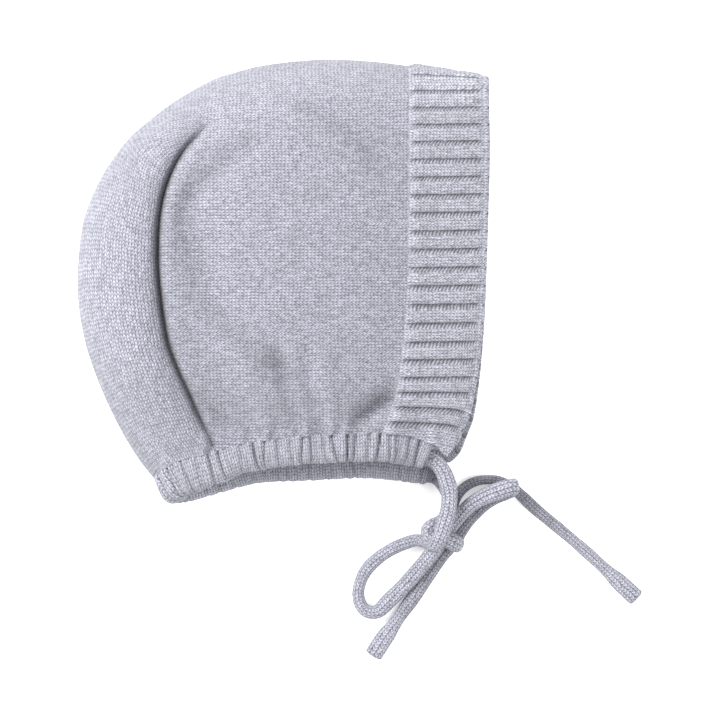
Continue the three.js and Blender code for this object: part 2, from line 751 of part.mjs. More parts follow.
// Tube of cord along a curve, grown by a margin where the casing makes room for it
function cordTube(curve, step = cordStep, margin = 0) {
  const steps = Math.max(4, Math.round(curve.getLength() / step));
  const section = cordSection(cordDiameter / 2 + margin);
  return new THREE.ExtrudeGeometry(section, { steps, extrudePath: curve, bevelEnabled: false });
}

function routeCurve(rows) {
  return new THREE.CatmullRomCurve3(rows.map((row) => new THREE.Vector3(...row)), false, 'catmullrom', 0.5);
}

// Length along a curve at which it comes nearest to a point
function lengthNear(curve, point) {
  const samples = curve.getSpacedPoints(400);
  let best = 0;
  samples.forEach((sample, k) => {
    best = sample.distanceTo(point) < samples[best].distanceTo(point) ? k : best;
  });
  return (curve.getLength() * best) / 400;
}

// Flat flared end of a tail, lying on the surface beyond the tail's last point
function tailEndGeometry(route) {
  const last = new THREE.Vector3(...route[route.length - 1]);
  const along = last.clone().sub(new THREE.Vector3(...route[route.length - 2])).setZ(0).normalize();
  const side = new THREE.Vector3(-along.y, along.x, 0);
  const vertices = [];
  for (const row of tailEndRows) {
    const centre = last.clone().addScaledVector(along, clearance + row.at * tailEndLength);
    const halfWidth = (row.width * tailEndWidth) / 2;
    const halfThickness = (row.thickness * tailEndThickness) / 2;
    centre.z = halfThickness + tailRest;
    for (let k = 0; k < cordSides; k += 1) {
      const angle = ((k + 0.5) * 2 * Math.PI) / cordSides;
      const point = centre.clone().addScaledVector(side, halfWidth * Math.cos(angle));
      vertices.push(point.setZ(centre.z + (halfThickness * Math.sin(angle)) / Math.cos(Math.PI / cordSides)));
    }
  }
  return cappedRings(vertices, tailEndRows.length, cordSides);
}

// Closed body through rings of points, with a flat cap on each end
function cappedRings(vertices, rings, sides) {
  const triangles = [];
  const at = (k, c) => k * sides + (c % sides);
  for (let k = 0; k < rings - 1; k += 1) {
    for (let c = 0; c < sides; c += 1) {
      triangles.push(at(k, c), at(k, c + 1), at(k + 1, c + 1), at(k, c), at(k + 1, c + 1), at(k + 1, c));
    }
  }
  const last = rings - 1;
  for (let c = 1; c < sides - 1; c += 1) {
    triangles.push(at(0, 0), at(0, c + 1), at(0, c), at(last, 0), at(last, c), at(last, c + 1));
  }
  return facingOut(geometryOf(vertices, triangles));
}

// Closed outer shape of the knot, grown by a margin where cords are cut back from it
function knotGeometry(margin) {
  const geometry = new THREE.SphereGeometry(1, knotSides, knotSides / 2);
  geometry.scale(knotWidth / 2 + margin, knotLength / 2 + margin, knotHeight / 2 + margin);
  geometry.rotateZ(THREE.MathUtils.degToRad(knotPlace.turn));
  return geometry.translate(knotPlace.x, knotPlace.y, knotHeight / 2 + tailRest);
}

const wasm = await Module();
wasm.setup();

function solidOf(geometry) {
  const bare = geometry.clone();
  bare.deleteAttribute('normal');
  bare.deleteAttribute('uv');
  const merged = mergeVertices(bare, 1e-5);
  const vertProperties = new Float32Array(merged.getAttribute('position').array);
  const triVerts = new Uint32Array(merged.getIndex().array);
  return new wasm.Manifold(new wasm.Mesh({ numProp: 3, vertProperties, triVerts }));
}

function geometryOfSolid(solid) {
  const mesh = solid.getMesh();
  const geometry = new THREE.BufferGeometry();
  geometry.setAttribute('position', new THREE.BufferAttribute(mesh.vertProperties, 3));
  geometry.setIndex(new THREE.BufferAttribute(mesh.triVerts, 1));
  return geometry;
}

const grownKnot = solidOf(knotGeometry(clearance));

function cutAtKnot(geometry) {
  return geometryOfSolid(solidOf(geometry).subtract(grownKnot));
}

const bonnet = new THREE.Group();

function addPiece(name, geometry, color, roughness) {
  const material = new THREE.MeshStandardMaterial({ color, roughness, metalness: 0 });
  const mesh = new THREE.Mesh(geometry, material);
  mesh.name = name;
  bonnet.add(mesh);
}

// Fabric pieces
const crown = crownGrid();
const crownInside = insideOf(crown, knitWall);
const backPanel = backPanelGrid();
const backPanelInside = insideOf(backPanel, knitWall);
const { grid: faceBand, rowsNear: ribRows } = faceBandGrid();
const faceBandInside = insideOf(faceBand, bandWall);
addPiece('crown', wallBetween(crown, crownInside), knitColor, knitRoughness);
addPiece('back_panel', wallBetween(backPanel, backPanelInside), panelColor, knitRoughness);
addPiece('face_band', wallBetween(withRibs(faceBand, ribRows), faceBandInside), bandColor, knitRoughness);

// Neck casing, hung from the neck borders of the fabric pieces
const firstOf = (grid) => grid.map((column) => column[0]);
const lastOf = (grid) => grid.map((column) => column[column.length - 1]);
const overCasing = (grid) => grid.slice(0, 2);
const overNear = (column) => column.slice(1, panelColumnsNear + 1);
const overFar = (column) => column.slice(panelColumnsNear + 1, -1);
const borders = [
  ...neckBorder(firstOf(overCasing(faceBand)), firstOf(overCasing(faceBandInside)), turnNearAt).reverse(),
  ...neckBorder(firstOf(crown), firstOf(crownInside), turnNearAt).reverse(),
  ...neckBorder(overNear(backPanel[0]), overNear(backPanelInside[0]), turnNearAt),
  ...neckBorder(overFar(backPanel[0]), overFar(backPanelInside[0]), turnFarAt),
  ...neckBorder(lastOf(crown), lastOf(crownInside), turnFarAt),
  ...neckBorder(lastOf(overCasing(faceBand)), lastOf(overCasing(faceBandInside)), turnFarAt),
];
const stations = casingStations(borders);
// Drawcord and ties: one cord from the knot through the casing and back to the knot
const channel = stations.slice(2, -2).map((station) => station.centre.toArray());
const wholeCord = routeCurve([...[...tieNearRoute].reverse(), ...channel, ...tieFarRoute]);
const mouthNear = lengthNear(wholeCord, new THREE.Vector3(...tieNearRoute[0]));
const mouthFar = lengthNear(wholeCord, new THREE.Vector3(...tieFarRoute[0]));
const hidden = new CurveStretch(wholeCord, mouthNear + clearance / 2, mouthFar - clearance / 2);
const near = new CurveStretch(wholeCord, 0, mouthNear - clearance / 2);
const far = new CurveStretch(wholeCord, mouthFar + clearance / 2, wholeCord.getLength());
const sleeve = solidOf(neckCasingGeometry(stations));
const room = solidOf(cordTube(hidden, hiddenCordStep, clearance));
addPiece('neck_casing', geometryOfSolid(sleeve.subtract(room)), bandColor, knitRoughness);
addPiece('drawcord', cordTube(hidden, hiddenCordStep), cordColor, cordRoughness);
addPiece('tie_near', cutAtKnot(cordTube(near)), cordColor, cordRoughness);
addPiece('tie_far', cutAtKnot(cordTube(far)), cordColor, cordRoughness);
addPiece('tie_knot', knotGeometry(0), cordColor, cordRoughness);

// Bow: two loops and two tails
const bowRoutes = [
  ['loop_left', loopLeftRoute],
  ['loop_right', loopRightRoute],
  ['tail_a', tailARoute],
  ['tail_b', tailBRoute],
];
for (const [name, route] of bowRoutes) {
  addPiece(name, cutAtKnot(cordTube(routeCurve(route))), cordColor, cordRoughness);
}
addPiece('tail_a_end', tailEndGeometry(tailARoute), cordColor, cordRoughness);
addPiece('tail_b_end', tailEndGeometry(tailBRoute), cordColor, cordRoughness);

export default bonnet;
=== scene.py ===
"""Looks of the knitted baby bonnet that lies on its side with its cord tied in a bow.

Metres, +Z up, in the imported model's frame. Tables are in millimetres, as the CAD part has them.
"""

import math

import bpy
import numpy as np
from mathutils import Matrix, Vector


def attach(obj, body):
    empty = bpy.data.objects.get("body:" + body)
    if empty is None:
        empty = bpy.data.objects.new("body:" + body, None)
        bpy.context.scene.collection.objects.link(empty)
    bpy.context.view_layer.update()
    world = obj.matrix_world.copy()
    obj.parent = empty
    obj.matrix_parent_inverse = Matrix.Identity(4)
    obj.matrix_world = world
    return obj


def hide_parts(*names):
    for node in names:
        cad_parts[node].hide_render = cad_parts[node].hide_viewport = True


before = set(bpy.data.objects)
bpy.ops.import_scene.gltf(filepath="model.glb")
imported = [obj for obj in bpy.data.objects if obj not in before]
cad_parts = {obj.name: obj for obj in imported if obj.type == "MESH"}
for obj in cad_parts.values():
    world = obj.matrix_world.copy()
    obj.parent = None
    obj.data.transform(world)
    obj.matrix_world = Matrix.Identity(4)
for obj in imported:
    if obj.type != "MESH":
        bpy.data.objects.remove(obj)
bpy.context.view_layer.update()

MM = 0.001

# Sizes of the part, in millimetres like all below
BONNET_LENGTH = 155.8
BONNET_HEIGHT = 168.7
BONNET_THICKNESS = 50.0
FOLD_HEIGHT = 21.0
KNIT_WALL = 1.8
BAND_WALL = 2.2
BAND_WIDTH = 30.0
RIB_PITCH = 6.7
RIB_RISE = 1.0
BOUND_EDGE = 2.4
SEAM_DEPTH = 9.0
CASING_WALL = 1.2
CASING_THICKNESS = 8.2
CHANNEL_HALF = 2.9
CLEARANCE = 0.3
# The neck's share of the band's lower edge, and the seam's share of the crown's back edge
NECK_SHARE_OF_BAND = 0.62
SEAM_SHARE_OF_BACK = 0.9

# Knit gauge: one course along the knit and one wale across it
COURSE = 1.43
WALE = 1.16
PANEL_COURSE = 1.55
CASING_COURSE = 1.4
CASING_WALE = 1.05
WALES_PER_RIB = 6

# Cord: a flat knitted tube
CORD_THICKNESS = 3.7
CORD_WALES = 12
CORD_COURSE = 1.35
# Length of each cord
NEAR_CORD_LENGTH = 262.0
FAR_CORD_LENGTH = 162.0
# Rings that round a cord's end: share of its width and push beyond the end
CORD_END_RINGS = ((0.35, 0.75), (0.75, 0.6), (0.93, 0.3))

# Plan lines: share of the length from the back, share of the height from the lowest edge
OUTLINE = [
    (0.190, 0.050), (0.150, 0.096), (0.105, 0.164), (0.0585, 0.2545), (0.022, 0.350),
    (0.004, 0.435), (0.000, 0.510), (0.010, 0.615), (0.032, 0.682), (0.068, 0.750),
    (0.122, 0.818), (0.176, 0.863), (0.241, 0.908), (0.327, 0.953), (0.395, 0.974),
    (0.466, 0.989), (0.583, 1.000), (0.700, 0.998), (0.817, 0.986), (0.934, 0.973),
    (0.999, 0.962),
]
FACE_EDGE = [
    (0.895, 0.110), (0.919, 0.131), (0.937, 0.167), (0.956, 0.212), (0.972, 0.300), (0.984, 0.410),
    (0.992, 0.540), (0.997, 0.680), (1.000, 0.800), (0.998, 0.900), (0.999, 0.962),
]
JUNCTION = [
    (0.742, 0.157), (0.776, 0.250), (0.799, 0.420), (0.806, 0.600), (0.808, 0.800),
    (0.807, 0.987),
]
SEAM = [
    (0.332, 0.133), (0.295, 0.203), (0.271, 0.255), (0.244, 0.311), (0.222, 0.374),
    (0.205, 0.484), (0.201, 0.570), (0.207, 0.655), (0.227, 0.727), (0.261, 0.788),
    (0.310, 0.838), (0.333, 0.858),
]
# Neck lines also give how many degrees the casing hangs askew, and its height in millimetres
NECK_NEAR = [
    (0.190, 0.050, 22, 11.6), (0.214, 0.076, 24, 13.6), (0.255, 0.096, 20, 14.2),
    (0.310, 0.108, 12, 12.6), (0.380, 0.128, 6, 11.4), (0.470, 0.142, 2, 11.0),
    (0.578, 0.151, 0, 10.8), (0.734, 0.158, 0, 11.2), (0.802, 0.154, -5, 11.8),
    (0.872, 0.131, -16, 10.6),
]
NECK_FAR = [
    (0.190, 0.050, 22, 11.6), (0.224, 0.056, 30, 11.2), (0.285, 0.064, 28, 10.0),
    (0.345, 0.078, 14, 9.6), (0.437, 0.101, 2, 10.0), (0.554, 0.106, 0, 10.0),
    (0.700, 0.112, 0, 10.0), (0.802, 0.104, -4, 10.0), (0.876, 0.090, -6, 9.4),
]
# Grooves of the face band, counted from the top, and their heights from the middle in millimetres
RIB_LEVELS = [
    (-0.6, 82.4), (0, 78.7), (1, 72.2), (4, 52.8), (8, 25.8), (12, -1.9), (15, -23.2),
    (17, -36.5), (20, -53.2), (22.6, -69.5),
]
# Below this groove the band is plain
LAST_RIB = 20.42
# Section of a rib, down from its groove: share of the pitch and share of the rise
RIB_SECTION = [
    (0.0, -0.15), (0.05, 0.0), (0.14, 0.30), (0.26, 0.42), (0.36, 0.92), (0.46, 1.0),
    (0.80, 0.96), (0.91, 0.80), (0.96, 0.35), (1.0, -0.15),
]
# Rise of the plain part, of the bound edge and of a rib's start, as shares of a rib's
PLAIN_RISE = 0.9
BOUND_RISE = 0.5
START_RISE = 0.25
START_PLACE = 0.14
START_REACH = 0.11
START_SLOPE = 14
# Rows of the far side over which the ribs flatten out
FAR_RIB_ROWS = 20
# How the ribs tilt towards the front, and droop there near the neck: drop, height and fade
RIB_TILT = 0.6
RIB_DROOP = 3.0
RIB_DROOP_HEIGHT = -50.0
RIB_DROOP_FADE = 6.0
# Where the panel's top meets the outline, and the far side's front corner
PANEL_TOP = (0.262, 0.920)
FACE_CORNER_FAR = (0.905, 0.090)

# Thickness of the lying bonnet along its length and up its height, as shares
PUFF_ALONG = [(0.00, 0.78), (0.22, 0.92), (0.45, 1.00), (0.65, 0.93), (0.82, 0.76), (1.00, 0.56)]
PUFF_UP = [
    (0.00, 0.48), (0.15, 0.60), (0.30, 0.86), (0.50, 1.00), (0.72, 0.97), (0.90, 0.82),
    (1.00, 0.64),
]
# Width of the rounding from the outline fold up to the top, as a share of its height
TOP_ROUNDING = 1.15
# Folds, dents, seam and puckers fade out over this width along the outline
RELIEF_FADE = 8.0
# Nearer to the outline than this, the knit is counted over the curve
SIDE_CURVE = 6.0
BAND_CURVE = 3.2
# How far the fabric sinks beside the back seam, by millimetres from it
SEAM_ON_CROWN = [
    (0.0, 1.0), (0.8, 0.72), (1.6, 0.28), (2.8, 0.07), (5.0, 0.0), (11.0, 0.17), (17.0, 0.09),
    (26.0, 0.0),
]
SEAM_ON_PANEL = [
    (0.0, 1.0), (1.0, 0.80), (2.2, 0.54), (5.0, 0.30), (9.0, 0.13), (15.0, 0.03), (22.0, 0.0),
]
SEAM_STRENGTH = [
    (0.0, 0.40), (0.12, 0.85), (0.40, 1.00), (0.78, 0.90), (0.91, 0.66), (0.97, 0.28),
    (1.0, 0.0),
]
# Reach of the painted shade on each side of the seam, then strength and reach of a wider one
CROWN_SEAM_SHADE = 0.9
PANEL_SEAM_SHADE = 1.1
SEAM_HALO = 0.22
SEAM_HALO_REACH = 5.0
# Folds: from back and up, to back and up, width and depth in millimetres
FOLDS = [
    (0.36, 0.34, 0.45, 0.15, 4.0, 2.4),
    (0.575, 0.36, 0.605, 0.15, 3.8, 2.2),
    (0.785, 0.230, 0.685, 0.180, 4.2, 3.0),
]
# Along a fold: middle and half length of its full depth, and fade, as shares of its length
FOLD_MIDDLE = 0.55
FOLD_FULL = 0.30
FOLD_FADE = 0.22
# Across a fold, in its widths: place of the valley, place of the ridge beside it, and ridge height
FOLD_VALLEY = 0.6
FOLD_RIDGE = 0.9
FOLD_RIDGE_SHARE = 0.6
# Dents: back, up, half lengths along and across as shares of the length, turn in degrees, depth
DENTS = [
    (0.495, 0.310, 0.055, 0.035, -65, 2.0),
    (0.629, 0.694, 0.040, 0.030, -30, 0.8),
]
# Soft creases of the side: width and depth in millimetres, shade, and points by back and up
CREASES = [
    (4.2, 2.4, 0.30, [
        (0.471, 0.836), (0.385, 0.773), (0.288, 0.694), (0.268, 0.626), (0.300, 0.536),
        (0.305, 0.468), (0.385, 0.378), (0.495, 0.300), (0.520, 0.250),
    ]),
    (4.2, 2.0, 0.28, [(0.520, 0.896), (0.629, 0.840), (0.715, 0.784), (0.763, 0.716)]),
    (3.2, 1.6, 0.45, [(0.470, 0.355), (0.495, 0.306), (0.518, 0.245)]),
    (3.0, 2.0, 0.65, [(0.665, 0.190), (0.710, 0.215), (0.770, 0.255)]),
    (3.2, 1.4, 0.40, [(0.290, 0.255), (0.335, 0.205), (0.385, 0.165)]),
    (3.0, 1.2, 0.25, [(0.505, 0.250), (0.522, 0.210), (0.540, 0.175)]),
]
# Puckers above the neck: height, lean, reach up, spacing, first place and number
PUCKER_LIFT = 1.3
PUCKER_LEAN = 0.12
PUCKER_REACH = 8.0
PUCKER_STEP = 3.0
PUCKER_START = -90.0
PUCKER_COUNT = 90
# Pleats of the casing: least and greatest gap and depth, greatest lean, depth in all, painted shade in
# the valleys for each millimetre of depth, and most painted shade in all
PLEAT_GAP = (2.6, 6.2)
PLEAT_DEPTH = (0.35, 1.6)
PLEAT_LEAN = 1.2
PLEAT_DEEPEST = 1.7
PLEAT_SHADE = 0.42
PLEAT_MOST_SHADE = 0.6
# Width of the valley between two pleats, then share, place and width of the ridge beside it
VALLEY_WIDTH = 0.7
RIDGE_SHARE = 0.5
RIDGE_PLACE = 1.5
RIDGE_WIDTH = 0.9
# How square the casing's section is above and below, its puff outwards and its lap upwards
SQUARE_ABOVE = 0.36
SQUARE_BELOW = 0.85
CASING_PUFF = 0.3
CASING_LAP = 0.6
# Rings that round the edge of a mouth, the rim's height, and the wales on each ring
RIM_STEPS = (1, 2, 3, 4)
RIM_HEIGHT = 0.6
RIM_WALES = 0.3
# The casing is drawn in by a share at its mouths, and bulges out at the nape
MOUTH_DRAW = 0.22
MOUTH_REACH = 2.2
NAPE_BULGE = 1.6
NAPE_REACH = 7.0

# Cord routes: points of the middle of the cord and its width there, in millimetres
NEAR_TIE = [
    (53.5, -66.4, 17.0, 5.4), (56.0, -67.4, 16.6, 5.6), (58.8, -69.2, 16.2, 5.9),
    (61.3, -72.6, 16.0, 6.1), (63.0, -77.2, 15.9, 6.3), (63.6, -82.0, 15.8, 6.4),
    (63.2, -87.0, 15.8, 6.4), (62.0, -91.6, 15.6, 6.4), (60.8, -95.6, 15.2, 6.2),
    (59.4, -98.8, 14.0, 5.8), (57.9, -100.8, 11.2, 5.2), (56.0, -100.8, 7.6, 5.0),
]
LEFT_LOOP = [
    (53.6, -99.4, 5.0, 5.0), (50.5, -98.9, 3.4, 5.0), (44.0, -101.2, 2.4, 4.9),
    (37.2, -105.2, 2.2, 4.9), (31.4, -111.2, 2.2, 4.8), (28.9, -119.0, 2.4, 4.8),
    (31.0, -125.2, 2.6, 5.0), (36.0, -126.2, 2.8, 5.4), (40.8, -121.8, 3.2, 5.8),
    (46.3, -116.4, 3.8, 6.0), (51.2, -110.8, 5.0, 6.0), (55.3, -105.8, 6.4, 6.0),
    (59.0, -101.0, 7.4, 5.6), (62.6, -96.4, 8.0, 5.0),
]
RIGHT_LOOP = [
    (66.2, -91.4, 8.8, 5.0), (70.4, -86.4, 9.6, 5.8), (76.0, -82.5, 9.9, 6.4),
    (81.6, -80.2, 9.9, 6.5), (86.0, -78.7, 9.4, 6.5), (88.3, -78.4, 8.3, 6.5),
    (88.4, -78.9, 6.9, 6.3), (85.6, -80.4, 6.1, 5.8), (81.2, -82.8, 5.4, 5.0),
    (76.6, -86.0, 4.8, 4.6), (72.0, -90.6, 4.6, 4.4), (68.6, -95.2, 4.4, 4.4),
]
TAIL_A = [
    (66.0, -99.0, 4.2, 4.8), (62.8, -102.6, 3.4, 5.2), (59.6, -106.6, 2.6, 5.4),
    (55.9, -111.8, 2.2, 5.5), (52.8, -116.6, 2.1, 5.5), (49.8, -121.0, 2.0, 5.3),
    (46.4, -125.8, 2.0, 5.0), (42.8, -131.0, 2.0, 4.7), (38.4, -137.0, 2.0, 4.6),
    (34.8, -142.6, 1.8, 4.6),
]
FAR_TIE = [
    (53.0, -74.2, 4.3, 4.6), (56.0, -74.4, 4.3, 4.6), (59.0, -75.6, 4.6, 4.6),
    (61.8, -79.0, 6.2, 4.6), (63.4, -83.6, 8.4, 4.6), (62.8, -88.0, 10.0, 4.8),
    (60.2, -91.6, 10.6, 5.2), (57.2, -93.2, 10.6, 5.6), (55.6, -95.4, 10.2, 5.8),
    (57.0, -97.4, 10.8, 5.6), (60.6, -98.0, 11.6, 5.8), (63.8, -98.8, 11.4, 6.2),
    (66.2, -100.0, 9.8, 6.4), (67.3, -100.7, 7.2, 5.6), (67.0, -99.8, 4.2, 4.6),
    (65.8, -96.0, 2.6, 4.2), (65.0, -91.6, 2.2, 3.8),
]
TAIL_B = [
    (65.2, -87.2, 2.2, 3.7), (66.6, -82.4, 2.2, 3.7), (69.2, -79.0, 2.2, 3.7),
    (72.8, -76.8, 2.2, 3.7), (77.2, -75.8, 2.2, 3.7), (82.6, -76.2, 2.2, 3.8),
    (87.8, -78.7, 2.2, 4.1), (92.0, -82.5, 2.1, 4.4), (96.6, -86.9, 2.0, 4.5),
    (101.6, -91.1, 2.0, 4.5), (110.2, -98.2, 2.0, 4.5), (118.2, -105.2, 2.0, 4.5),
    (123.8, -110.4, 2.0, 4.5), (129.4, -115.6, 1.9, 4.5), (135.0, -120.8, 1.8, 4.5),
]
# Painted shade on each cord where it lies turned over or below another: share of its length, shade
NEAR_CORD_SHADE = [
    (0.0, 0.0), (0.66, 0.0), (0.70, 0.55), (0.79, 0.50), (0.84, 0.40), (0.91, 0.36), (0.945, 0.0),
    (1.0, 0.0),
]
FAR_CORD_SHADE = [
    (0.0, 0.25), (0.20, 0.0), (0.42, 0.0), (0.49, 0.5), (0.62, 0.42), (0.665, 0.85), (0.72, 0.6),
    (0.79, 0.15), (0.86, 0.0), (1.0, 0.0),
]
# Flared flat end of each tail: share of its length, width and thickness in shares of the cord's
FLARE_LENGTH = 17.0
FLARE = [(0.0, 1.0, 1.0), (0.22, 1.14, 0.9), (0.45, 1.46, 0.82), (0.8, 1.58, 0.76), (1.0, 1.50, 0.7)]

# Edges that turn more than this many degrees are shaded sharp
SHARP_EDGE = 58
# Steps between two points of a smooth curve, and points of a line that is looked up
CURVE_STEPS = 24
LINE_POINTS = 161
SEARCH_POINTS = 1201
# Plan points measured against a line at a time
BLOCK = 6000

# Linear colours of the yarn
YARN = (0.455, 0.46, 0.540)
BAND_YARN = (0.535, 0.54, 0.625)
CASING_YARN = (0.485, 0.49, 0.57)
CORD_YARN = (0.45, 0.455, 0.535)


# Shapes


def smooth_points(points, steps=CURVE_STEPS):
    """Points on the smooth curve through given points."""
    points = np.asarray(points, float)
    ends = np.vstack([points[:1], points, points[-1:]])
    t = np.linspace(0, 1, steps, endpoint=False)[:, None]
    spans = []
    for a, b, c, d in zip(ends, ends[1:], ends[2:], ends[3:]):
        start, stop = (c - a) / 2, (d - b) / 2
        cubic = (2 * (b - c) + start + stop) * t**3
        spans.append(b + start * t + (3 * (c - b) - 2 * start - stop) * t**2 + cubic)
    return np.vstack(spans + [points[-1:]])


def table(rows, column=1):
    """Reads a table's column at a place, on a smooth curve through its rows."""
    points = smooth_points([(row[0], row[column]) for row in rows])
    return lambda place: np.interp(place, points[:, 0], points[:, 1])


def unit(vectors):
    """Vectors scaled to length 1."""
    return vectors / np.linalg.norm(vectors, axis=-1, keepdims=True)


def bell(away, width=1.0):
    """Bell curve: 1 at no distance, and next to nothing two widths away."""
    return np.exp(-((away / width) ** 2))


def lengths_along(points):
    """How far along a row of points each of them lies."""
    steps = np.linalg.norm(np.diff(points, axis=0), axis=1)
    return np.concatenate([[0.0], np.cumsum(steps)])


class Line:
    """Smooth line through points, read by the share of its length."""

    def __init__(self, points, steps=CURVE_STEPS):
        self.points = smooth_points(points, steps)
        self.lengths = lengths_along(self.points)
        self.length = self.lengths[-1]

    def at(self, share):
        place = np.clip(share, 0, 1) * self.length
        return np.stack([np.interp(place, self.lengths, axis) for axis in self.points.T], axis=-1)

    def part(self, start, end):
        return lambda share: self.at(start + (end - start) * np.asarray(share))

    def share_near(self, point):
        shares = np.linspace(0, 1, SEARCH_POINTS)
        return shares[np.argmin(np.linalg.norm(self.at(shares) - point, axis=1))]

    def drawn_to(self, start, end):
        """The line with its two ends drawn onto given points."""
        first, last = start - self.at(0.0), end - self.at(1.0)

        def read(share):
            s = np.asarray(share)[..., None]
            return self.at(share) + first * (1 - s) ** 2 + last * s**2

        return read


def plan(back, up):
    return np.array([(back - 0.5) * BONNET_LENGTH, (up - 0.5) * BONNET_HEIGHT])


def plan_line(rows):
    return Line([plan(row[0], row[1]) for row in rows])


def straight(start, end):
    return lambda share: start + (end - start) * np.asarray(share)[..., None]


def chained(first, second, split):
    """Two lines in turn, the first taking its share of the way."""

    def read(share):
        share = np.asarray(share, float)
        before = first(np.clip(share / split, 0, 1))
        after = second(np.clip((share - split) / (1 - split), 0, 1))
        return np.where((share < split)[..., None], before, after)

    return read


outline = plan_line(OUTLINE)
face_edge = plan_line(FACE_EDGE)
junction = plan_line(JUNCTION)
seam = plan_line(SEAM)
neck_near = plan_line(NECK_NEAR)
neck_far = plan_line(NECK_FAR)
outline_points = outline.at(np.linspace(0, 1, LINE_POINTS))
seam_points = seam.at(np.linspace(0, 1, LINE_POINTS))

puff_along = table(PUFF_ALONG)
puff_up = table(PUFF_UP)
seam_on_crown = table(SEAM_ON_CROWN)
seam_on_panel = table(SEAM_ON_PANEL)
seam_strength = table(SEAM_STRENGTH)
neck_height = table(NECK_NEAR)


def nearest(points, xy):
    """Distance from plan points to a line, the share of the way along it, and the side of it."""
    start, step = points[:-1], np.diff(points, axis=0)
    away, along, side = [], [], []
    for block in np.array_split(xy, max(1, len(xy) // BLOCK)):
        gap = block[:, None] - start[None]
        share = np.clip((gap * step).sum(-1) / (step**2).sum(-1), 0, 1)
        rest = gap - share[..., None] * step
        distance = np.hypot(rest[..., 0], rest[..., 1])
        best = distance.argmin(1)
        rows = np.arange(len(block))
        cross = step[best, 0] * gap[rows, best, 1] - step[best, 1] * gap[rows, best, 0]
        away.append(distance[rows, best])
        along.append((best + share[rows, best]) / len(step))
        side.append(cross)
    return np.concatenate(away), np.concatenate(along), np.concatenate(side)


def round_over(away, width):
    """Quarter round of the outline fold: 0 on the outline, 1 once past its width."""
    return np.sqrt(1 - (1 - np.minimum(away / width, 1)) ** 2)


def fold_lift(x, y):
    """Height of the ridges beside the folds, less the depth of the folds."""
    lift = np.zeros_like(x)
    for from_back, from_up, to_back, to_up, width, depth in FOLDS:
        start, end = plan(from_back, from_up), plan(to_back, to_up)
        length = np.linalg.norm(end - start)
        ax, ay = (end - start) / length
        along = ((x - start[0]) * ax + (y - start[1]) * ay) / length
        across = ((x - start[0]) * ay - (y - start[1]) * ax) / width
        past = np.maximum(0, np.abs(along - FOLD_MIDDLE) - FOLD_FULL)
        ridge = FOLD_RIDGE_SHARE * bell(across + FOLD_RIDGE)
        lift += depth * bell(past, FOLD_FADE) * (ridge - bell(across - FOLD_VALLEY))
    return lift


def dent_sink(x, y):
    """Depth of the dents."""
    sink = np.zeros_like(x)
    for back, up, long, wide, turn, depth in DENTS:
        cx, cy = plan(back, up)
        c, s = math.cos(math.radians(turn)), math.sin(math.radians(turn))
        along = ((x - cx) * c + (y - cy) * s) / (long * BONNET_LENGTH)
        across = (-(x - cx) * s + (y - cy) * c) / (wide * BONNET_LENGTH)
        sink += depth * np.exp(-(along**2) - across**2)
    return sink


crease_lines = [plan_line(points).at(np.linspace(0, 1, 60)) for *_, points in CREASES]


def crease_sink(xy, is_depth=True):
    """How deep the side's creases sink, or how much painted shade lies along them."""
    sink = np.zeros(len(xy))
    for (width, depth, shade, _), points in zip(CREASES, crease_lines):
        away, along, _ = nearest(points, xy)
        fade = np.sqrt(np.sin(np.pi * np.clip(along, 0.002, 0.998)))
        # Depth of the crease, or the painted shade along it
        sink += (depth if is_depth else shade) * fade * bell(away, width)
    return sink


puckers = np.random.default_rng(11).uniform(-1, 1, PUCKER_COUNT)


def pucker(x):
    """Uneven ripple along the neck, from -1 to 1."""
    place = (x - PUCKER_START) / PUCKER_STEP
    low = np.clip(np.floor(place).astype(int), 0, len(puckers) - 2)
    share = place - low
    share = share * share * (3 - 2 * share)
    return puckers[low] * (1 - share) + puckers[low + 1] * share


def gather_lift(x, y):
    """Small folds that stand up from the neck's joining line and soon fade."""
    above = y - (neck_height(x / BONNET_LENGTH + 0.5) - 0.5) * BONNET_HEIGHT
    return PUCKER_LIFT * pucker(x - PUCKER_LEAN * above) * bell(above, PUCKER_REACH)


def surface(xy, is_near, relief=True):
    """Outer surface of the fabric over plan points, on the near side or the far side."""
    shape = xy.shape[:-1]
    xy = xy.reshape(-1, 2)
    x, y = xy[:, 0], xy[:, 1]
    puff = puff_along(x / BONNET_LENGTH + 0.5) * puff_up(y / BONNET_HEIGHT + 0.5)
    fold = FOLD_HEIGHT * puff
    away = nearest(outline_points, xy)[0]
    if not is_near:
        z = fold * (1 - round_over(away, fold))
        return np.column_stack([x, y, z]).reshape(*shape, 3)
    top = BONNET_THICKNESS * puff
    z = fold + (top - fold) * round_over(away, TOP_ROUNDING * (top - fold))
    if relief:
        seam_away, seam_along, side = nearest(seam_points, xy)
        sink = np.where(side < 0, seam_on_crown(seam_away), seam_on_panel(seam_away))
        sink = sink * SEAM_DEPTH * seam_strength(seam_along)
        lift = fold_lift(x, y) + gather_lift(x, y) - dent_sink(x, y) - crease_sink(xy) - sink
        z = z + lift * np.minimum(1, away / RELIEF_FADE)
    return np.column_stack([x, y, z]).reshape(*shape, 3)


def patch(lower, upper, back, front):
    """Four-sided plan patch between a lower, upper, back and front line, each read from 0 to 1."""

    def read(u, v):
        u, v = np.broadcast_arrays(np.asarray(u, float), np.asarray(v, float))
        a, b = u[..., None], v[..., None]
        edges = lower(u) * (1 - b) + upper(u) * b + back(v) * (1 - a) + front(v) * a
        zero, one = np.zeros(()), np.ones(())
        corners = lower(zero) * (1 - a) * (1 - b) + lower(one) * a * (1 - b)
        corners = corners + upper(zero) * (1 - a) * b + upper(one) * a * b
        return edges - corners

    return read


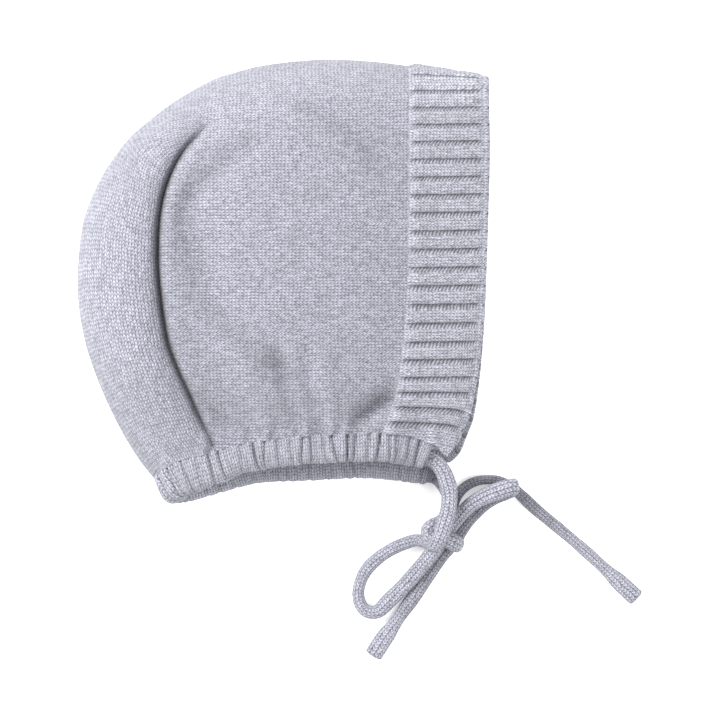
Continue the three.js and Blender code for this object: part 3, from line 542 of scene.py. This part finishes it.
def even_rows(area, columns, rows, is_near, start, end):
    """Fabric points over a patch, evenly spaced up each column by their true length."""
    fine = np.linspace(start, end, 200)
    section = surface(area(columns[:, None], fine[None]), is_near)
    steps = np.linalg.norm(np.diff(section, axis=1), axis=2)
    lengths = np.concatenate([np.zeros((len(columns), 1)), np.cumsum(steps, axis=1)], axis=1)
    shares = np.linspace(0, 1, rows + 1)
    places = np.stack([np.interp(shares * row[-1], row, fine) for row in lengths])
    return surface(area(columns[:, None], places), is_near)


def wrapped(area_near, area_far, columns, rows_near, rows_far):
    """Up the near side, over the outline and down the far side, column by column."""
    near = even_rows(area_near, columns, rows_near, True, 0, 1)
    far = even_rows(area_far, columns, rows_far, False, 1, 0)
    return np.concatenate([near, far[:, 1:]], axis=1)


def grid_normals(grid):
    """Unit normals of a grid of points."""
    normals = np.cross(np.gradient(grid, axis=0), np.gradient(grid, axis=1))
    return normals / np.maximum(np.linalg.norm(normals, axis=2, keepdims=True), 1e-9)


def skin(name, grid, uv, closed_rows=False, marks=None):
    """Mesh over a grid of points whose columns close on themselves, with its texture places.

    Rows close on themselves too, or the first and last columns' ends are joined across.
    Marks are numbers over the grid's first columns that the materials read.
    """
    columns, rows = grid.shape[:2]
    last = rows if closed_rows else rows - 1
    i, j = np.meshgrid(np.arange(columns), np.arange(last), indexing="ij")
    i, j = i.ravel(), j.ravel()
    i2, j2 = (i + 1) % columns, (j + 1) % rows
    faces = np.column_stack([i * rows + j, i2 * rows + j, i2 * rows + j2, i * rows + j2])
    places = np.stack([uv[i, j], uv[i + 1, j], uv[i + 1, j + 1], uv[i, j + 1]], axis=1)
    if not closed_rows:
        k = np.arange(columns // 2 - 1)
        mirror = columns - 1 - k
        for row, flip in ((0, True), (rows - 1, False)):
            quad = np.column_stack([k, k + 1, mirror - 1, mirror])
            quad = quad[:, ::-1] if flip else quad
            faces = np.vstack([faces, quad * rows + row])
            places = np.vstack([places, uv[quad, row]])
    mesh = bpy.data.meshes.new(name)
    mesh.from_pydata((grid.reshape(-1, 3) * MM).tolist(), [], faces.tolist())
    layer = mesh.uv_layers.new(name="knit")
    layer.data.foreach_set("uv", places.reshape(-1).astype(np.float32))
    mesh.shade_smooth()
    mesh.set_sharp_from_angle(angle=math.radians(SHARP_EDGE))
    for label, values in (marks or {}).items():
        held = np.zeros((columns, rows), np.float32)
        held[: len(values) if len(values) > 1 else columns] = values
        mesh.attributes.new(label, "FLOAT", "POINT").data.foreach_set("value", held.ravel())
    piece = bpy.data.objects.new(name, mesh)
    bpy.context.scene.collection.objects.link(piece)
    return piece


def fabric(name, outer, wall, uv, rim_steps=0, marks=None):
    """Closed fabric wall below a grid of outer points, with a rounded rim along its last column."""
    normals = grid_normals(outer)
    inner = outer - wall * normals
    loop, places = list(outer), list(uv)
    if rim_steps:
        outward = unit(outer[-1] - outer[-2])
        middle = (outer[-1] + inner[-1]) / 2
        for k in range(1, rim_steps + 1):
            angle = math.pi * k / (rim_steps + 1)
            turned = math.cos(angle) * normals[-1] + math.sin(angle) * outward
            loop.append(middle + wall / 2 * turned)
            places.append(uv[-1] + [angle * wall / 2 / COURSE, 0])
    loop += list(inner[::-1])
    places += list(uv[::-1])
    places.append(places[0])
    return skin(name, np.array(loop), np.array(places), marks=marks)


# Texture places of the side's knit: wales run from the back to the face, counted up the side


def arc_tables():
    """True lengths over the smooth side, along and up, from its middle, for every millimetre."""
    half_length, half_height = 80, 88
    x = np.linspace(-half_length, half_length, 2 * half_length + 1)
    y = np.linspace(-half_height, half_height, 2 * half_height + 1)
    spots = np.stack(np.meshgrid(x, y, indexing="ij"), axis=-1)
    z = surface(spots, True, relief=False)[..., 2]
    along = np.hypot(np.diff(z, axis=0), 1.0)
    up = np.hypot(np.diff(z, axis=1), 1.0)
    along = np.concatenate([np.zeros((1, len(y))), np.cumsum(along, axis=0)])
    up = np.concatenate([np.zeros((len(x), 1)), np.cumsum(up, axis=1)], axis=1)
    return x, y, along - along[[half_length]], up - up[:, [half_height]]


def read_grid(x, y, values, points):
    """Value of a grid at plan points, between its four nearest corners."""
    i = np.clip(points[..., 0] - x[0], 0, len(x) - 1.001)
    j = np.clip(points[..., 1] - y[0], 0, len(y) - 1.001)
    i0, j0 = i.astype(int), j.astype(int)
    a, b = i - i0, j - j0
    low = values[i0, j0] * (1 - a) + values[i0 + 1, j0] * a
    high = values[i0, j0 + 1] * (1 - a) + values[i0 + 1, j0 + 1] * a
    return low * (1 - b) + high * b


near_arcs = arc_tables()


def side_uv(points, rows_near):
    """Courses and wales under a grid that wraps over the outline.

    They are read from the side's lengths, then counted on over the outline and down the far side.
    """
    x, y, along, up = near_arcs
    steps = np.diff(points, axis=1)
    counted = np.stack([steps[..., 0], np.linalg.norm(steps, axis=2)], axis=-1)
    near = points[:, : rows_near + 1]
    side = np.stack([read_grid(x, y, along, near), read_grid(x, y, up, near)], axis=-1)
    away = nearest(outline_points, near[:, 1:, :2].reshape(-1, 2))[0].reshape(len(points), -1, 1)
    counted[:, :rows_near] = np.where(away > SIDE_CURVE, np.diff(side, axis=1), counted[:, :rows_near])
    counted = np.cumsum(np.concatenate([side[:, :1], counted], axis=1), axis=1)
    return counted / [COURSE, WALE]


def arc_uv(points, course, wale):
    """Courses counted along the columns' order and wales up each column, by their mean lengths."""
    along = np.linalg.norm(np.diff(points, axis=0), axis=2).mean(1)
    up = np.linalg.norm(np.diff(points, axis=1), axis=2).mean(0)
    along = np.concatenate([[0.0], np.cumsum(along)]) / course
    up = np.concatenate([[0.0], np.cumsum(up)]) / wale
    return np.stack(np.meshgrid(along, up, indexing="ij"), axis=-1)


junction_top = outline.share_near(junction.at(1.0))
panel_top = outline.share_near(plan(*PANEL_TOP))
crossing = straight(seam.at(1.0), outline.at(panel_top))


class Side:
    """One side's neck line, where it meets the seam and the junction, and those two drawn to it."""

    def __init__(self, neck):
        self.neck = neck
        self.seam_low = neck.share_near(seam.at(0.0))
        self.junction_low = neck.share_near(junction.at(0.0))
        self.seam = seam.drawn_to(neck.at(self.seam_low), seam.at(1.0))
        self.junction = junction.drawn_to(neck.at(self.junction_low), outline.at(junction_top))


sides = (Side(neck_near), Side(neck_far))


def seam_shade(outer, rows_near, reach):
    """Painted shade down in the back seam and in the creases."""
    away, along, _ = nearest(seam_points, outer[..., :2].reshape(-1, 2))
    core = bell(away, reach) + SEAM_HALO * bell(away, SEAM_HALO_REACH)
    creases = crease_sink(outer[..., :2].reshape(-1, 2), is_depth=False)
    shade = (core * seam_strength(along) + creases).reshape(outer.shape[:2])
    shade[:, rows_near + 1 :] = 0
    return np.minimum(shade, 1)


def make_crown():
    """Side panels and top, its columns closer together beside the seam."""
    upper = outline.part(panel_top, junction_top)
    near, far = (
        patch(
            side.neck.part(side.seam_low, side.junction_low),
            upper,
            chained(side.seam, crossing, SEAM_SHARE_OF_BACK),
            side.junction,
        )
        for side in sides
    )
    columns, rows_near, rows_far, crowding = 151, 190, 60, 1.35
    shares = np.linspace(0, 1, columns) ** crowding
    outer = wrapped(near, far, shares, rows_near, rows_far)
    # Painted shade down the seam and in the creases
    marks = {"shade": seam_shade(outer, rows_near, CROWN_SEAM_SHADE)}
    return fabric("crown_knit", outer, KNIT_WALL, side_uv(outer, rows_near), marks=marks)


def make_back_panel():
    """Strip down the back, whose knit turns into the crown's where the two meet at the top."""
    upper = outline.part(0, panel_top)
    near, far = (
        patch(side.seam, upper, side.neck.part(side.seam_low, 0), crossing) for side in sides
    )
    columns, rows_near, rows_far, blend_from, meeting = 200, 96, 30, 0.70, 30
    shares = np.linspace(0, 1, columns)
    outer = wrapped(near, far, shares, rows_near, rows_far)
    own, shared = arc_uv(outer, PANEL_COURSE, WALE), side_uv(outer, rows_near)
    share = np.clip((shares - blend_from) / (1 - blend_from), 0, 1)
    blend = (share * share * (3 - 2 * share))[:, None, None]
    offset = np.round((own - shared)[-meeting:].mean((0, 1)))
    # Painted shade down the seam and in the creases
    marks = {"shade": seam_shade(outer, rows_near, PANEL_SEAM_SHADE)}
    uv = own * (1 - blend) + (shared + offset) * blend
    return fabric("back_panel_knit", outer, KNIT_WALL, uv, marks=marks)


def rib_places(outer, rows_near, across):
    """How many ribs down from the top each point of the band lies, counted on over the outline."""
    near = outer[:, : rows_near + 1]
    y = near[..., 1]
    droop_fade = np.exp(-np.maximum(0, y - RIB_DROOP_HEIGHT) / RIB_DROOP_FADE)
    droop = RIB_DROOP * across**1.5 * droop_fade
    levels = np.array(RIB_LEVELS)[::-1]
    place = np.interp(y - RIB_TILT * across + droop, levels[:, 1], levels[:, 0])
    steps = -np.linalg.norm(np.diff(outer, axis=1), axis=2) / RIB_PITCH
    away = nearest(outline_points, near[:, 1:, :2].reshape(-1, 2))[0]
    flat_part = away.reshape(len(across), -1) > BAND_CURVE
    steps[:, :rows_near] = np.where(flat_part, np.diff(place, axis=1), steps[:, :rows_near])
    return np.cumsum(np.concatenate([place[:, :1], steps], axis=1), axis=1)


def make_face_band():
    """Ribbed band from the crown to its plain bound front edge."""
    columns, rows_near, rows_far = 49, 400, 120
    upper = outline.part(junction_top, 1)
    face_far = face_edge.drawn_to(plan(*FACE_CORNER_FAR), face_edge.at(1.0))
    patches = []
    for side, face in zip(sides, (face_edge.at, face_far)):
        front_foot = straight(side.neck.at(1.0), face(0.0))
        lower = chained(side.neck.part(side.junction_low, 1), front_foot, NECK_SHARE_OF_BAND)
        patches.append(patch(lower, upper, side.junction, face))
    near, far = patches
    shares = np.linspace(0, 1, columns)
    fine = np.linspace(0, 1, 600)
    section = surface(near(0.4, fine), True)
    lengths = lengths_along(section)
    rows = np.interp(np.linspace(0, lengths[-1], rows_near + 1), lengths, fine)
    outer_near = surface(near(shares[:, None], rows[None]), True)
    outer_far = even_rows(far, shares, rows_far, False, 1, 0)
    outer = np.concatenate([outer_near, outer_far[:, 1:]], axis=1)
    place = rib_places(outer, rows_near, shares[:, None])
    rib = np.interp(place % 1, *np.array(RIB_SECTION).T)
    rib = np.where(place > LAST_RIB, PLAIN_RISE, rib)
    from_edge = (1 - shares) * BAND_WIDTH
    fade = np.clip(from_edge / BOUND_EDGE - 0.4, 0, 1) * np.clip(shares * START_SLOPE, 0, 1)
    count = np.arange(rows_near + rows_far + 1)
    flat = np.where(count > rows_near, np.clip(1 - (count - rows_near) / FAR_RIB_ROWS, 0, 1), 1)
    bound = BOUND_RISE * np.clip(1.1 - from_edge / BOUND_EDGE, 0, 1)
    start = START_RISE * bell(shares - START_PLACE, START_REACH)
    ripple = fade[:, None] * rib + bound[:, None] + start[:, None] * np.maximum(rib, 0)
    outer = outer + grid_normals(outer) * (RIB_RISE * ripple * flat[None])[..., None]
    uv = arc_uv(outer, COURSE, WALE)
    uv[..., 1] = place * WALES_PER_RIB
    plain = np.maximum(place > LAST_RIB, 1 - fade[:, None])
    return fabric("face_band_rib", outer, BAND_WALL, uv, rim_steps=6, marks={"plain": plain})


# Neck casing: a gathered sleeve with a mouth at each front end


def neck_stretch(line, rows, is_near):
    """Points, outward and hanging directions and casing height along one side's neck line."""
    shares = np.linspace(0.004, 1, 90)[:: -1 if is_near else 1]
    spots = line.at(shares)
    step = 0.4
    dx = surface(spots + [step, 0], is_near) - surface(spots - [step, 0], is_near)
    dy = surface(spots + [0, step], is_near) - surface(spots - [0, step], is_near)
    out = unit(np.cross(dx, dy) * (1 if is_near else -1))
    back = spots[:, 0] / BONNET_LENGTH + 0.5
    turn, height = np.radians(table(rows, 2)(back)), table(rows, 3)(back)
    down = np.column_stack([np.sin(turn), -np.cos(turn), np.zeros_like(turn)])
    return surface(spots, is_near), out, down, height[:, None]


def casing_frames(count):
    """Middle, hanging and outward directions, distance along and height of the casing.

    They run round the neck, from the near mouth by the nape to the far one.
    """
    near = neck_stretch(neck_near, NECK_NEAR, True)
    far = neck_stretch(neck_far, NECK_FAR, False)
    points, out, down, height = (np.vstack(both) for both in zip(near, far))
    path = Line(points, 2)
    spread = np.linspace(0, path.length, count)
    at = np.interp(spread, path.lengths[::2], np.arange(len(points)))
    index = np.arange(len(points))

    def read(values, width):
        """Values smoothed over some points and read at even steps along the path."""
        kernel = np.hanning(width + 2)[1:-1]
        padded = np.pad(values, ((width // 2, width // 2), (0, 0)), mode="edge")
        soft = np.stack([np.convolve(c, kernel / kernel.sum(), "valid") for c in padded.T], axis=1)
        return np.stack([np.interp(at, index, c) for c in soft.T], axis=1)

    points = read(points, 7)
    along = unit(np.gradient(points, axis=0))
    hang = read(down, 9)
    hang = unit(hang - (hang * along).sum(1, keepdims=True) * along)
    normal = np.cross(hang, along)
    normal *= np.sign((normal * read(out, 9)).sum(1, keepdims=True))
    height = read(height, 7)
    centre = points + hang * (height / 2 - CLEARANCE) - normal * CASING_THICKNESS / 2
    centre[:, 2] = np.maximum(centre[:, 2], CASING_THICKNESS / 2 + 0.4)
    return centre, hang, normal, spread, height


def gathers(spread, seed):
    """Uneven pleats along the casing: places, depths and leans of the valleys between them."""
    rng = np.random.default_rng(seed)
    edges = [0.0]
    while edges[-1] < spread[-1]:
        edges.append(edges[-1] + rng.uniform(*PLEAT_GAP))
    depths = rng.uniform(*PLEAT_DEPTH, len(edges))
    leans = rng.uniform(-PLEAT_LEAN, PLEAT_LEAN, len(edges))
    return np.array(edges), depths, leans


def mouth_rim(outer, inner, along):
    """Rings that round a mouth's edge, from its outer ring to its inner one."""
    along = unit(along)
    middle, half = (outer + inner) / 2, (outer - inner) / 2
    angles = [math.pi * k / (len(RIM_STEPS) + 1) for k in RIM_STEPS]
    return [middle + math.cos(a) * half + math.sin(a) * along * RIM_HEIGHT for a in angles]


def make_casing():
    """Sleeve round the neck, with an outer and an inner skin joined at the two mouths."""
    count, around = 620, 56
    centre, hang, normal, spread, height = casing_frames(count)
    angles = np.linspace(0, 2 * np.pi, around, endpoint=False)
    c, s = np.cos(angles), np.sin(angles)
    square = np.where(c < 0, SQUARE_ABOVE, SQUARE_BELOW)
    down = np.sign(c) * np.abs(c) ** square
    out = np.sign(s) * np.abs(s) ** (square - 0.1)
    dip = np.zeros((count, around))
    for edge, deep, slant in zip(*gathers(spread, 4)):
        gap = spread[:, None] - edge - slant * down[None]
        ridge = RIDGE_SHARE * bell(gap - RIDGE_PLACE, RIDGE_WIDTH)
        dip += deep * (bell(gap, VALLEY_WIDTH) - ridge)
    swell = np.minimum(dip * (0.85 - 0.15 * down[None]), PLEAT_DEEPEST)
    nape = bell(spread - spread[-1] * 0.5, NAPE_REACH)[:, None]
    drawn = 1 - MOUTH_DRAW * bell(spread, MOUTH_REACH)
    drawn = (drawn - MOUTH_DRAW * bell(spread[-1] - spread, MOUTH_REACH))[:, None]
    half_out = CASING_THICKNESS / 2 * drawn + CASING_PUFF + NAPE_BULGE * nape
    half_out = half_out - swell * (out[None] > 0.2)
    half_down = height / 2 * drawn - 0.4 * swell + CASING_LAP * (down[None] < 0)
    outer = (
        centre[:, None]
        + hang[:, None] * (down[None] * half_down)[..., None]
        + normal[:, None] * (out[None] * half_out)[..., None]
    )
    outer[..., 2] = np.maximum(outer[..., 2], 0.15)
    inner_down = height * drawn / 2 - CASING_WALL
    inner_out = CHANNEL_HALF - np.clip(swell - 0.6, 0, 0.9)
    inner = (
        centre[:, None]
        + hang[:, None] * (down[None] * inner_down)[..., None]
        + normal[:, None] * (out[None] * inner_out)[..., None]
    )
    middle_ring = np.vstack([outer[count // 3], outer[count // 3][:1]])
    girth = lengths_along(middle_ring) / CASING_COURSE
    wales = spread / CASING_WALE
    far_rim = mouth_rim(outer[-1], inner[-1], outer[-1] - outer[-2])
    near_rim = mouth_rim(outer[0], inner[0], outer[0] - outer[1])[::-1]
    loop = list(outer) + far_rim + list(inner[::-1]) + near_rim
    v = list(wales) + [wales[-1] + RIM_WALES * k for k in RIM_STEPS]
    v += list(wales[::-1]) + [wales[0] - RIM_WALES * k for k in RIM_STEPS[::-1]]
    v.append(v[0])
    uv = np.stack(np.broadcast_arrays(girth[None, :], np.array(v)[:, None]), axis=-1)
    # Painted shade down in the valleys between the pleats
    marks = {"shade": np.clip(PLEAT_SHADE * dip, 0, PLEAT_MOST_SHADE)}
    return skin("neck_casing_knit", np.array(loop), uv, closed_rows=True, marks=marks)


# Cords


def cord_path(*routes):
    """Middle of a cord and its width, close together along its joined routes."""
    points = [point for route in routes for point in route]
    line = Line(points, 12)
    spots = line.at(np.linspace(0, 1, int(line.length / 0.55)))
    return spots[:, :3], spots[:, 3]


def make_cord(name, path, widths, shades):
    """Flat knitted tube along a path, with its far end flared and pressed flat."""
    count, around = len(path), 36
    tangent = unit(np.gradient(path, axis=0))
    side = np.zeros_like(path)
    level = np.cross(tangent, [0, 0, 1.0])
    sure = np.linalg.norm(level, axis=1)
    side[0] = level[0] / sure[0]
    for k in range(1, count):
        carried = side[k - 1] - (side[k - 1] @ tangent[k]) * tangent[k]
        aim = level[k] * np.sign(level[k] @ carried) / max(sure[k], 1e-6)
        pull = 0.12 * np.clip((sure[k] - 0.5) / 0.4, 0, 1)
        mixed = (1 - pull) * carried / np.linalg.norm(carried) + pull * aim
        side[k] = mixed / np.linalg.norm(mixed)
    up = np.cross(side, tangent)
    lengths = lengths_along(path)
    left = lengths[-1] - lengths
    flare = np.clip(1 - left / FLARE_LENGTH, 0, 1)
    wide = np.interp(flare, [row[0] for row in FLARE], [row[1] for row in FLARE])
    thick = np.interp(flare, [row[0] for row in FLARE], [row[2] for row in FLARE])
    wobble = 1 + 0.03 * np.sin(lengths / 5.1) + 0.025 * np.sin(lengths / 2.3 + 1.0)
    angles = np.linspace(0, 2 * np.pi, around, endpoint=False)
    c = np.sign(np.cos(angles)) * np.abs(np.cos(angles)) ** 0.9
    s = np.sign(np.sin(angles)) * np.abs(np.sin(angles)) ** 0.9
    half_w = (widths / 2 * wide * wobble)[None]
    half_t = (CORD_THICKNESS / 2 * thick)[None]
    grid = path[None] + side[None] * (c[:, None] * half_w)[..., None]
    grid = grid + up[None] * (s[:, None] * half_t)[..., None]
    grid[..., 2] = np.maximum(grid[..., 2], 0.1)
    grid = close_ends(grid, path, tangent)
    rows = grid.shape[1]
    u = np.concatenate([[lengths[0]] * 3, lengths, [lengths[-1]] * 3]) / CORD_COURSE
    v = np.linspace(0, CORD_WALES, around + 1)
    uv = np.stack(np.broadcast_arrays(u[None, :rows], v[:, None]), axis=-1)
    # Painted shade where the cord lies turned over or below another
    shade = np.interp(u / u[-1], *np.array(shades).T)
    return skin(name, grid, uv, marks={"shade": shade[None, :rows]})


def close_ends(grid, path, tangent):
    """Rounded ends, drawn in over a short way."""
    first, last = [], []
    for share, push in CORD_END_RINGS:
        first.append(path[0] + share * (grid[:, 0] - path[0]) - tangent[0] * push)
        last.insert(0, path[-1] + share * (grid[:, -1] - path[-1]) + tangent[-1] * push)
    return np.concatenate([np.stack(first, 1), grid, np.stack(last, 1)], axis=1)


# Materials


def set_inputs(node, values):
    """Fixed values of a node's inputs."""
    for name, value in values.items():
        node.inputs[name].default_value = value


class Num:
    """A number on its way through a material's nodes, so that a pattern reads as plain sums."""

    def __init__(self, tree, socket):
        self.tree, self.socket = tree, socket

    def run(self, kind, *others):
        node = self.tree.nodes.new("ShaderNodeMath")
        node.operation = kind
        for index, value in enumerate((self, *others)):
            if isinstance(value, Num):
                self.tree.links.new(value.socket, node.inputs[index])
            else:
                node.inputs[index].default_value = value
        return Num(self.tree, node.outputs[0])

    def __add__(self, other):
        return self.run("ADD", other)

    def __sub__(self, other):
        return self.run("SUBTRACT", other)

    def __mul__(self, other):
        return self.run("MULTIPLY", other)

    def __truediv__(self, other):
        return self.run("DIVIDE", other)

    __radd__ = __add__
    __rmul__ = __mul__

    def fract(self):
        return self.run("FRACT")

    def abs(self):
        return self.run("ABSOLUTE")

    def sin(self):
        return self.run("SINE")

    def cos(self):
        return self.run("COSINE")

    def power(self, exponent):
        return self.run("POWER", exponent)

    def within(self, low, high):
        """0 at or before the low end, 1 at or past the high end, even in between."""
        node = self.tree.nodes.new("ShaderNodeMapRange")
        set_inputs(node, {"From Min": low, "From Max": high})
        self.tree.links.new(self.socket, node.inputs["Value"])
        return Num(self.tree, node.outputs["Result"])


def noise(tree, vector, scale, detail=2.0):
    node = tree.nodes.new("ShaderNodeTexNoise")
    set_inputs(node, {"Scale": scale, "Detail": detail})
    tree.links.new(vector, node.inputs["Vector"])
    return Num(tree, node.outputs["Fac"])


def random_by(tree, first, second=None):
    """A random number for every whole step of one number, or of two."""
    node = tree.nodes.new("ShaderNodeTexWhiteNoise")
    if second is None:
        node.noise_dimensions = "1D"
        tree.links.new(first.run("FLOOR").socket, node.inputs["W"])
    else:
        node.noise_dimensions = "2D"
        join = tree.nodes.new("ShaderNodeCombineXYZ")
        tree.links.new(first.run("FLOOR").socket, join.inputs[0])
        tree.links.new(second.run("FLOOR").socket, join.inputs[1])
        tree.links.new(join.outputs[0], node.inputs["Vector"])
    return Num(tree, node.outputs["Value"])


# Scales of the knit material's noises, for each metre
DRIFT_NOISE = 160.0
SWAY_NOISE = 700.0
FIBRE_NOISE = 2600.0
CLOUD_NOISE = 38.0
HEATHER_NOISE = 900.0
# Slant of a stitch's legs in courses, and how much the painted shade darkens the yarn where its mark
# is full
STITCH_SLANT = 0.62
PAINTED_SHADE_STRENGTH = 0.55


def knit_height(courses, across, groove_depth):
    """Stocking stitch: each wale is a row of Vs with a groove between it and the next."""
    along = ((courses + across * STITCH_SLANT) * (2 * math.pi)).cos() * 0.5 + 0.5
    groove = across.power(3.0) * -groove_depth + 1
    middle = (across * -1 + 1).power(4.0) * -0.35 + 1
    return (along * 0.62 + 0.38) * groove * middle


def mark(tree, name):
    """A number marked on the mesh by its maker."""
    node = tree.nodes.new("ShaderNodeAttribute")
    node.attribute_name = name
    return Num(tree, node.outputs["Fac"])


def knit_material(name, yarn, gap_shade=0.85, depth=0.5, uneven=0.5, groove=0.78, purl=False):
    """Fuzzy knit with painted shade down between the stitches, no two of them quite alike."""
    material = bpy.data.materials.new(name)
    material.use_nodes = True
    tree = material.node_tree
    shader = tree.nodes["Principled BSDF"]
    coords = tree.nodes.new("ShaderNodeTexCoord")
    split = tree.nodes.new("ShaderNodeSeparateXYZ")
    tree.links.new(coords.outputs["UV"], split.inputs[0])
    position = coords.outputs["Object"]
    drift = noise(tree, position, DRIFT_NOISE) - 0.5
    sway = noise(tree, position, SWAY_NOISE) - 0.5
    wales = Num(tree, split.outputs[1]) + drift * -0.4 + sway * 0.5
    courses = Num(tree, split.outputs[0]) + drift * 0.6 + sway * 0.6
    courses = courses + random_by(tree, wales) * 0.42
    across = ((wales.fract() - 0.5) * 2).abs()
    height = knit_height(courses, across, groove)
    if purl:
        rib = (Num(tree, split.outputs[1]) / WALES_PER_RIB).fract()
        ribbed = mark(tree, "plain") * -1 + 1
        sunk = rib.within(0.36, 0.26) * ribbed
        bars = ((courses + rib * 3.0) * (2 * math.pi)).sin() * 0.22 + 0.34
        height = height * (1 + sunk * -1.0) + bars * sunk
    fibre = noise(tree, position, FIBRE_NOISE, detail=3.0) - 0.5
    loft = height + fibre * 0.35
    cloud = noise(tree, position, CLOUD_NOISE) - 0.5
    heather = noise(tree, position, HEATHER_NOISE) - 0.5
    stitch = random_by(tree, courses + across * STITCH_SLANT, wales * 2) - 0.5
    # Painted shade down between the stitches, where the knit lies low
    tone = loft.within(0.05, 0.85) * gap_shade + (1 - gap_shade)
    tone = tone * (1 + heather * 0.45 + stitch * uneven + cloud * 0.12)
    # Painted shade where the mesh's shade mark lies: seam, creases, pleats and cords
    tone = tone * (1 + mark(tree, "shade") * -PAINTED_SHADE_STRENGTH)
    # Painted shade in the groove below each rib and over the sunk purl
    if purl:
        tone = tone * (1 + rib.within(0.17, 0.04) * ribbed * -0.46)
        tone = tone * (1 + sunk * -0.12)
    mix = tree.nodes.new("ShaderNodeMix")
    mix.data_type = "RGBA"
    mix.blend_type = "MULTIPLY"
    set_inputs(mix, {"Factor": 1.0, "A": (*yarn, 1.0)})
    tree.links.new(tone.socket, mix.inputs["B"])
    tree.links.new(mix.outputs["Result"], shader.inputs["Base Color"])
    bump = tree.nodes.new("ShaderNodeBump")
    set_inputs(bump, {"Strength": 1.0, "Distance": depth * MM})
    tree.links.new(loft.socket, bump.inputs["Height"])
    tree.links.new(bump.outputs["Normal"], shader.inputs["Normal"])
    set_inputs(shader, {"Roughness": 0.92, "Specular IOR Level": 0.15})
    set_inputs(shader, {"Sheen Weight": 0.18, "Sheen Roughness": 0.6})
    return material


# Camera, light and floor, in metres

VIEW_CENTRE = (29.6 * MM, -30.0 * MM)
VIEW_WIDTH = 273.6 * MM
CAMERA_HEIGHT = 3.0
# The view width holds at this height above the floor
FOCUS_HEIGHT = 0.02
SENSOR_WIDTH = 36.0
AIM = (0.01, -0.02, 0.01)
WHITE = (1.0, 1.0, 1.0, 1.0)


def make_camera():
    data = bpy.data.cameras.new("camera")
    data.sensor_width = SENSOR_WIDTH
    data.lens = SENSOR_WIDTH * (CAMERA_HEIGHT - FOCUS_HEIGHT) / VIEW_WIDTH
    data.clip_start = 0.1
    data.clip_end = 20.0
    camera = bpy.data.objects.new("camera", data)
    camera.location = (*VIEW_CENTRE, CAMERA_HEIGHT)
    bpy.context.scene.collection.objects.link(camera)
    bpy.context.scene.camera = camera


def make_light(name, place, size, power):
    data = bpy.data.lights.new(name, "AREA")
    data.shape = "RECTANGLE"
    data.size, data.size_y = size
    data.energy = power
    light = bpy.data.objects.new(name, data)
    light.location = place
    light.rotation_euler = (Vector(AIM) - Vector(place)).to_track_quat("-Z", "Y").to_euler()
    bpy.context.scene.collection.objects.link(light)


def make_floor():
    bpy.ops.mesh.primitive_plane_add(size=8.0, location=(0, 0, 0))
    floor = bpy.context.object
    floor.name = "floor"
    material = bpy.data.materials.new("floor_white")
    material.use_nodes = True
    shader = material.node_tree.nodes["Principled BSDF"]
    set_inputs(shader, {"Base Color": (0.93, 0.93, 0.94, 1.0), "Roughness": 0.9})
    set_inputs(shader, {"Emission Color": WHITE, "Emission Strength": 0.35})
    floor.data.materials.append(material)


def set_world(strength):
    """Even white light from all around."""
    world = bpy.data.worlds.new("studio")
    world.use_nodes = True
    set_inputs(world.node_tree.nodes["Background"], {"Color": WHITE, "Strength": strength})
    bpy.context.scene.world = world


def dress(piece, material, slot, *nodes):
    """Gives a new piece its material and hides the CAD parts that it stands for."""
    piece.data.materials.append(material)
    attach(piece, "root")
    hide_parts(*nodes)


make_camera()
bpy.context.scene.view_settings.view_transform = "Standard"
side_knit = knit_material("side_knit", YARN)
panel_knit = knit_material("panel_knit", YARN)
rib_knit = knit_material("rib_knit", BAND_YARN, purl=True)
casing_knit = knit_material("casing_knit", CASING_YARN, groove=0.9, uneven=0.35)
cord_knit = knit_material("cord_knit", CORD_YARN, gap_shade=0.9, depth=0.4, uneven=0.35)

near_path, near_widths = cord_path(NEAR_TIE, LEFT_LOOP, RIGHT_LOOP, TAIL_A)
far_path, far_widths = cord_path(FAR_TIE, TAIL_B)
near_cord = make_cord("cord_near", near_path, near_widths, NEAR_CORD_SHADE)
far_cord = make_cord("cord_far", far_path, far_widths, FAR_CORD_SHADE)
dress(
    near_cord, cord_knit, "cord_knit",
    "tie_near", "tie_knot", "loop_left", "loop_right", "tail_a", "tail_a_end",
)
dress(far_cord, cord_knit, "cord_knit", "tie_far", "tail_b", "tail_b_end")
for cord, path, length in (
    (near_cord, near_path, NEAR_CORD_LENGTH),
    (far_cord, far_path, FAR_CORD_LENGTH),
):
    tuple(path[0] * MM)
    length * MM
    (path * MM).tolist()

dress(make_crown(), side_knit, "knit", "crown")
dress(make_back_panel(), panel_knit, "panel_knit", "back_panel")
dress(make_face_band(), rib_knit, "rib_knit", "face_band")
dress(make_casing(), casing_knit, "rib_knit", "neck_casing")

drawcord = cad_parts["drawcord"]
drawcord.data.materials.clear()
drawcord.data.materials.append(cord_knit)

set_world(0.54)
make_light("key", place=(-1.35, 0.85, 1.35), size=(1.1, 1.1), power=75)
make_light("fill", place=(1.1, -0.45, 1.6), size=(1.6, 1.6), power=36)
make_floor()
